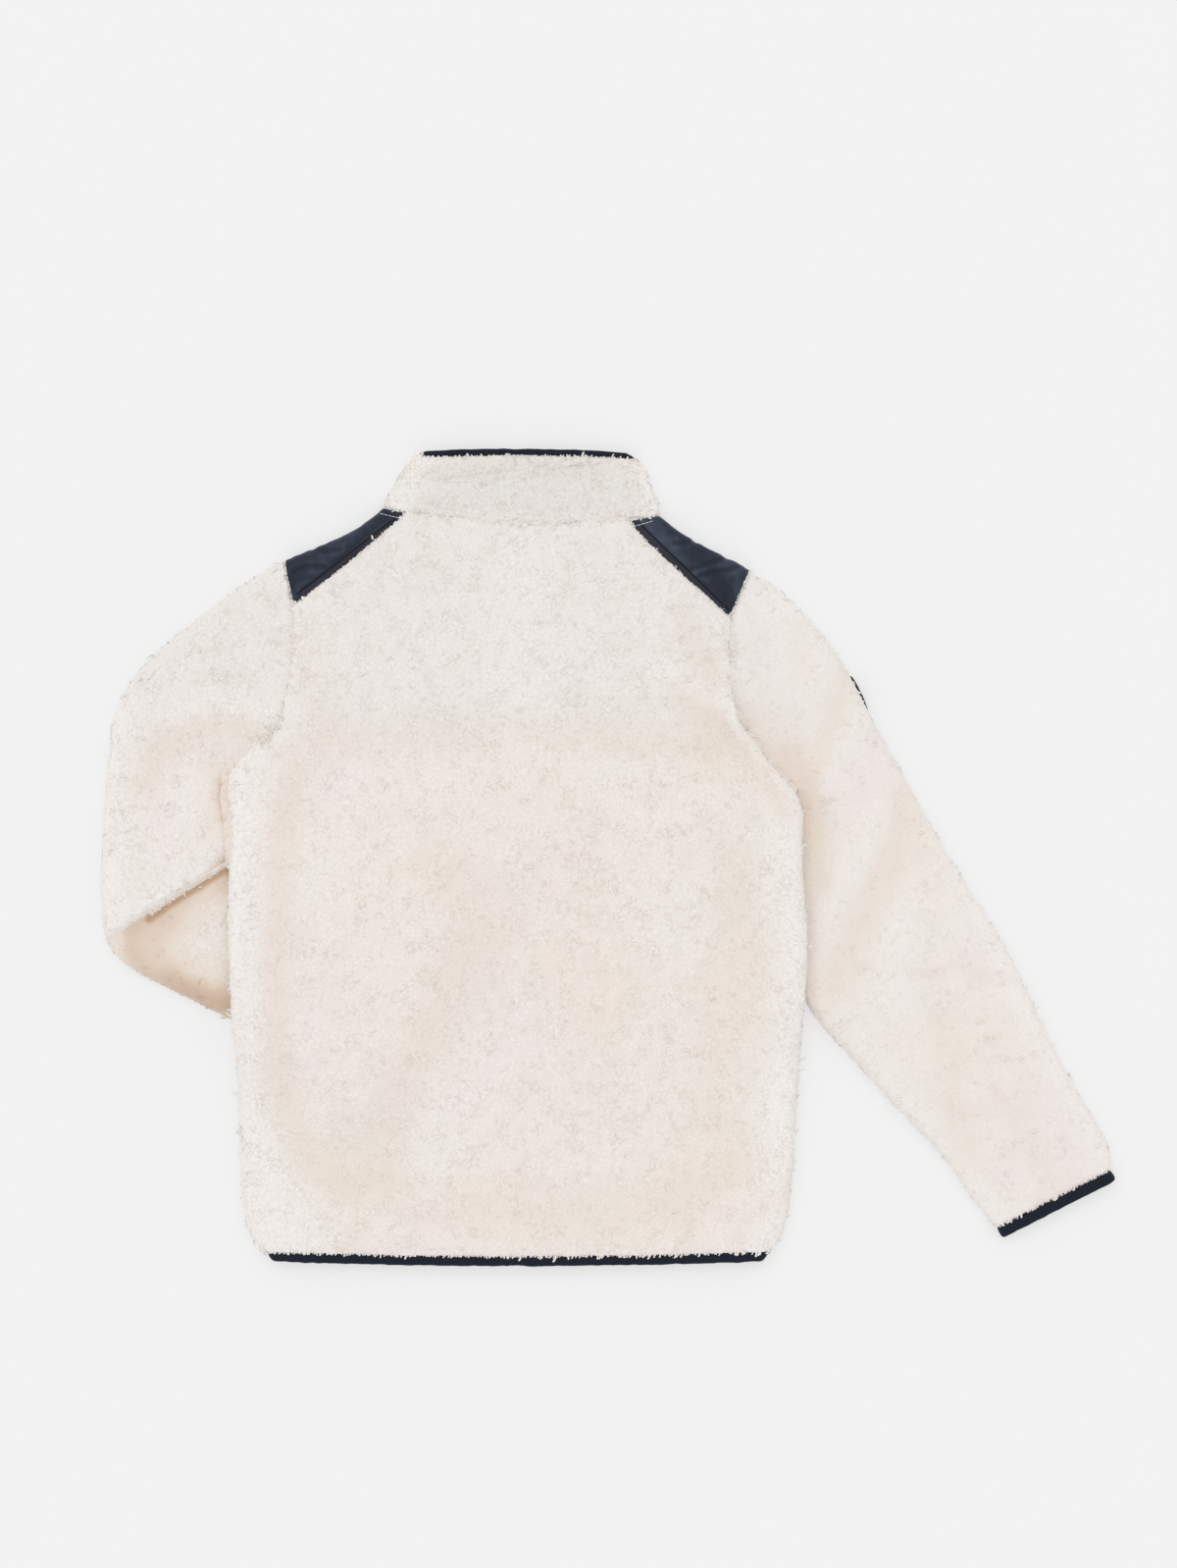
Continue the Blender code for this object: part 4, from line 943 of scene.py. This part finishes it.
# %% Wrinkled copies of the navy pieces
FOLDS = {"yoke_right": [[(700, 582), (722, 574), (745, 567)], [(713, 587), (732, 583), (752, 578)],
                        [(688, 554), (704, 552), (719, 549)]],
         "yoke_left": [[(300, 582), (314, 577), (330, 578)], [(318, 560), (332, 562), (346, 560)]]}
ALONG = {"cuff_binding_right": (0.86, 0.50), "cuff_binding_left": (0.4, -0.91)}  # elsewhere +X
FAN_FOLDS = 6


def trim_piece(node, finish, longest, amount, length, centre=None):
    """A finer copy with wrinkles of a length, or with ones that fan out from a centre."""
    made = finer_copy(node, node + "_cloth", longest)
    mesh = made.data
    points, normals = coordinates(mesh), normals_of(mesh)
    lift = np.zeros(len(points))
    for i, point in enumerate(points):
        x = Vector(point)
        if centre:
            angle = math.atan2(x.y - centre[1], x.x - centre[0])
            lift[i] = noise.noise(Vector((angle * FAN_FOLDS, (x - Vector((*centre, 0))).length / 0.05, 3.0)))
        else:
            lift[i] = noise.noise(x / length)
        lift[i] += 0.35 * noise.noise(x / (length * 0.4) + Vector((7, 3, 1)))
    for fold in FOLDS.get(node, []):
        far = to_line(points, [photo(*p) for p in fold]) / MM
        lift += 0.28 * (np.exp(-((far - 3.5) / 2.2) ** 2) - 1.3 * np.exp(-(far / 1.6) ** 2))
    free = np.clip(exposure(points, normals), 0, 1) * raised(points[:, 2], 0.001, 0.004)
    set_coordinates(mesh, points + normals * (lift * amount * free)[:, None])
    mesh.materials.append(finish)
    way = ALONG.get(node, (1, 0))
    # `crest` is kept only on the yokes, for their painted highlights and shade.
    store(mesh, crest=lift if centre else lift * 0, along=points[:, 0] * way[0] + points[:, 1] * way[1])
    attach(made, "jacket")
    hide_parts(node)
    return made


YOKE_CENTRES = {"left": (-0.262, 0.150), "right": (0.115, 0.140)}
trims = {}
for side, centre in YOKE_CENTRES.items():
    trims["yoke_" + side] = trim_piece("yoke_" + side, navy_weave, (0.006, 0.003, 0.0016),
                                       0.0012, 0.012, centre)
    trims["strip_" + side] = trim_piece("yoke_strip_" + side, navy_edge, (0.004, 0.002), 0.0003, 0.006)
    trims["cuff_" + side] = trim_piece("cuff_binding_" + side, binding_rib, (0.004, 0.0022), 0.0005, 0.006)
trims["hem"] = trim_piece("hem_binding", binding_rib, (0.005, 0.003), 0.0006, 0.007)
trims["collar"] = trim_piece("collar_binding", binding_rib, (0.005, 0.003), 0.0005, 0.007)
for side in YOKE_CENTRES:
    trims["tape_" + side] = trim_piece("zip_tape_" + side, twill, (0.006,), 0.0002, 0.01)
trims["badge"] = trim_piece("badge_edge", navy_edge, (0.003,), 0.0002, 0.006)

# %% [markdown]
# ## Stitches
# A lockstitch is a row of short dashes, each of which dips into the cloth at its
# ends. The tree takes a line of points, spaces dashes along it and turns each one
# along the line. The line is laid on the cloth with rays from above.

# %% The tree that sews a line
def stitch_tree(name):
    g, take = geometry_tree(name, "Stitches", Line="Geometry", Step="Float", Length="Float",
                            Thread="Float", Material="Material")
    points, tangent = spots_along(g, take)
    dash = g.add("GeometryNodeCurveQuadraticBezier", None, 4, (0, 0, -0.5), (0, 0.26, 0), (0, 0, 0.5))
    stitch = thin_tube(g, dash, 5, take["Thread"], take["Length"])
    along = g.add("FunctionNodeAlignRotationToVector", {"axis": "Z"}, Vector=tangent)
    upright = g.add("FunctionNodeAlignRotationToVector", {"axis": "Y", "pivot_axis": "Z"},
                    Rotation=along, Vector=(0, 0, 1))
    return put_copies(g, take, Points=points, Instance=stitch, Rotation=upright, Scale=take["Length"] * 1)


sewing = stitch_tree("Sew a line")


def on_cloth(line, pieces, step=0.002, proud=0.00012):
    """A line in millimetres, seen from above, laid on the pieces below it."""
    tree = tree_of(pieces)
    plan = np.array(line) * MM
    along = np.concatenate([[0], np.cumsum(np.linalg.norm(np.diff(plan, axis=0), axis=1))])
    at = np.arange(0, along[-1], step)
    laid = []
    for x, y in zip(np.interp(at, along, plan[:, 0]), np.interp(at, along, plan[:, 1])):
        hit = tree.ray_cast(Vector((x, y, HIGH)), DOWN)
        if hit[0] is not None:
            laid.append((x, y, hit[0].z + proud))
    return laid


def line_object(name, points):
    """A mesh of edges from point to point, as a guide that isn't shown."""
    mesh = bpy.data.meshes.new(name)
    mesh.from_pydata(points, [(i, i + 1) for i in range(len(points) - 1)], [])
    return bpy.data.objects.new(name, mesh)


# %% Rows of stitches on the shoulder pieces
STITCH_STEP, STITCH_LENGTH = 0.0027, 0.0025
FINE, STOUT = 0.00024, 0.00042
ROWS = {"left_neck": ("left", [(389, 523.5), (409, 528.5)], pale_thread, FINE),
        "right_neck": ("right", [(645, 537), (665, 531)], pale_thread, FINE),
        "left_edge": ("left", [(402, 529), (390, 537.5), (354, 565.5), (323, 590), (301, 606)], dark_thread, STOUT),
        "right_edge": ("right", [(656, 537), (680, 560.5), (704, 583.5), (724, 603), (743, 621)], dark_thread, STOUT)}
stitches = {"left": [], "right": []}
for name, (side, line, finish, thread) in ROWS.items():
    laid = on_cloth([photo(*p) for p in line], [trims["yoke_" + side], trims["strip_" + side]])
    guide = line_object(f"stitches_{name}_line", laid)
    stitches[side].append(grow(sewing, guide, "stitches_" + name, slot="woven", Step=STITCH_STEP,
                               Length=STITCH_LENGTH, Thread=thread, Material=finish))

# %% [markdown]
# ## The zip
# The front closes with a moulded coil zip: two rows of teeth that interlock. Lying
# face down, it shows only from below. The teeth repeat along a straight line, so a
# tree like the stitch tree makes them, as short fat bars set to each side by turns.

# %% Zip coil in place of the plain strip
low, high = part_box("zip_teeth")
middle_x, middle_z = (low[0] + high[0]) / 2, (low[2] + high[2]) / 2
wide, tall = high[0] - low[0], high[2] - low[2]
print("zip coil", round(wide / MM, 1), "x", round((high[1] - low[1]) / MM), "x", round(tall / MM, 1))


def coil_tree(name):
    """Teeth as small rounded bars, every second one from the other side."""
    g, take = geometry_tree(name, "Teeth", Line="Geometry", Step="Float", Bar="Vector",
                            Sideways="Float", Material="Material")
    points, _ = spots_along(g, take)
    side = g.add("GeometryNodeInputIndex").maths("FLOORED_MODULO", 2.0) * 2 - 1
    aside = g.add("ShaderNodeCombineXYZ", None, side * take["Sideways"], 0.0, 0.0)
    moved = g.add("GeometryNodeSetPosition", None, points, Offset=aside)
    bar = g.add("GeometryNodeMeshCylinder", None, 8, Radius=0.5, Depth=1.0)
    lying = g.add("GeometryNodeTransform", None, bar, Rotation=(0, math.pi / 2, 0))
    return put_copies(g, take, Points=moved, Instance=lying, Scale=take["Bar"])


TOOTH_STEP, TOOTH_THICK, END = 0.0013, 0.00105, 0.0008
zip_line = line_object("zip_line", [(middle_x, low[1] + END, middle_z), (middle_x, high[1] - END, middle_z)])
teeth = grow(coil_tree("Zip teeth"), zip_line, "zip_coil", slot="coil", Step=TOOTH_STEP,
             Bar=(wide * 0.62, TOOTH_THICK, tall * 0.98), Sideways=wide * 0.19, Material=coil_plastic)
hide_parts("zip_teeth")
for node in ("zip_slider", "zip_pull"):
    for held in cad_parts[node].material_slots:
        held.material = dark_metal

# %% [markdown]
# ## What each sheet was cut to
# The pieces are cloth laid flat, and the size of each one's cut is listed, with the
# pieces that it holds. A sleeve and a collar are a tube and a double layer, so their cut goes all round.

# %% The cuts of the sheets, and what each holds
CUTS = {"back": ((0.44, 0.56), 0.205), "front_left": ((0.22, 0.56), 0.098), "front_right": ((0.22, 0.56), 0.098),
        "sleeve_left": ((0.36, 0.48), 0.108), "sleeve_right": ((0.36, 0.48), 0.108),
        "collar": ((0.38, 0.052), 0.0165)}  # metres, and square metres
TRIMS_ON = {"back": ["hem", "strip_left", "strip_right"], "front_left": ["tape_left"], "front_right": ["tape_right"],
            "sleeve_left": ["cuff_left"], "sleeve_right": ["cuff_right", "badge"], "collar": ["collar"]}
PADS_ON = {"back": ["seam_collar"], "sleeve_left": ["seam_left", "tuck_left", "lip_left"],
           "sleeve_right": ["seam_right", "tuck_right"]}
for node, (flat, area) in CUTS.items():
    held_on = pile[node] + [trims[n] for n in TRIMS_ON[node]] + ([teeth] if node == "front_right" else [])
    held_on += [pads[n] for n in PADS_ON.get(node, [])] + [made for n in PADS_ON.get(node, []) for made in pile[n]]
for side in ("left", "right"):
    trims["yoke_" + side]

# %% [markdown]
# ## Camera, light and floor
# The photograph looks straight down with a long lens. A wide soft sun from the upper
# left gives the folds their shade, and an even sky fills it. The floor in the
# photograph is one pale tone with hardly a shadow, so here it gives part of its
# light itself.

# %% Camera, light and floor
CENTRE = Vector((-0.01447, 0.05398, 0.0))
CAMERA_HEIGHT, SKY, SUN, GLOW = 2.732, 0.84, 0.78, 0.546
bpy.ops.object.camera_add(location=CENTRE + Vector((0, 0, CAMERA_HEIGHT)), rotation=(0, 0, 0))
camera = bpy.context.object
camera.data.lens, camera.data.sensor_width = 85, 36
bpy.context.scene.camera = camera

world = bpy.data.worlds.new("Studio")
bpy.context.scene.world = world
world.use_nodes = True
world.node_tree.nodes["Background"].inputs[0].default_value = (1.0, 1.0, 1.0, 1)
world.node_tree.nodes["Background"].inputs[1].default_value = SKY

bpy.ops.object.light_add(type="SUN", location=(-1, 1, 2))
sun = bpy.context.object
sun.data.energy, sun.data.angle = SUN, math.radians(60)
sun.rotation_euler = Vector((0.16, -0.34, -1.0)).to_track_quat("-Z", "Y").to_euler()

bpy.ops.mesh.primitive_plane_add(size=80, location=(0, 0, 0))
floor = bpy.context.object
floor.name = "Floor"
floor.location.z = -0.0004  # just under the jacket
ground, g, shader = cloth_material("Pale ground", 0.9)
shader.inputs["Base Color"].default_value = (0.32, 0.32, 0.32, 1)
shader.inputs["Emission Color"].default_value = (1, 1, 1, 1)
shader.inputs["Emission Strength"].default_value = GLOW
floor.data.materials.append(ground)

scene = bpy.context.scene
scene.view_settings.view_transform = "Standard"
scene.view_settings.look = "None"
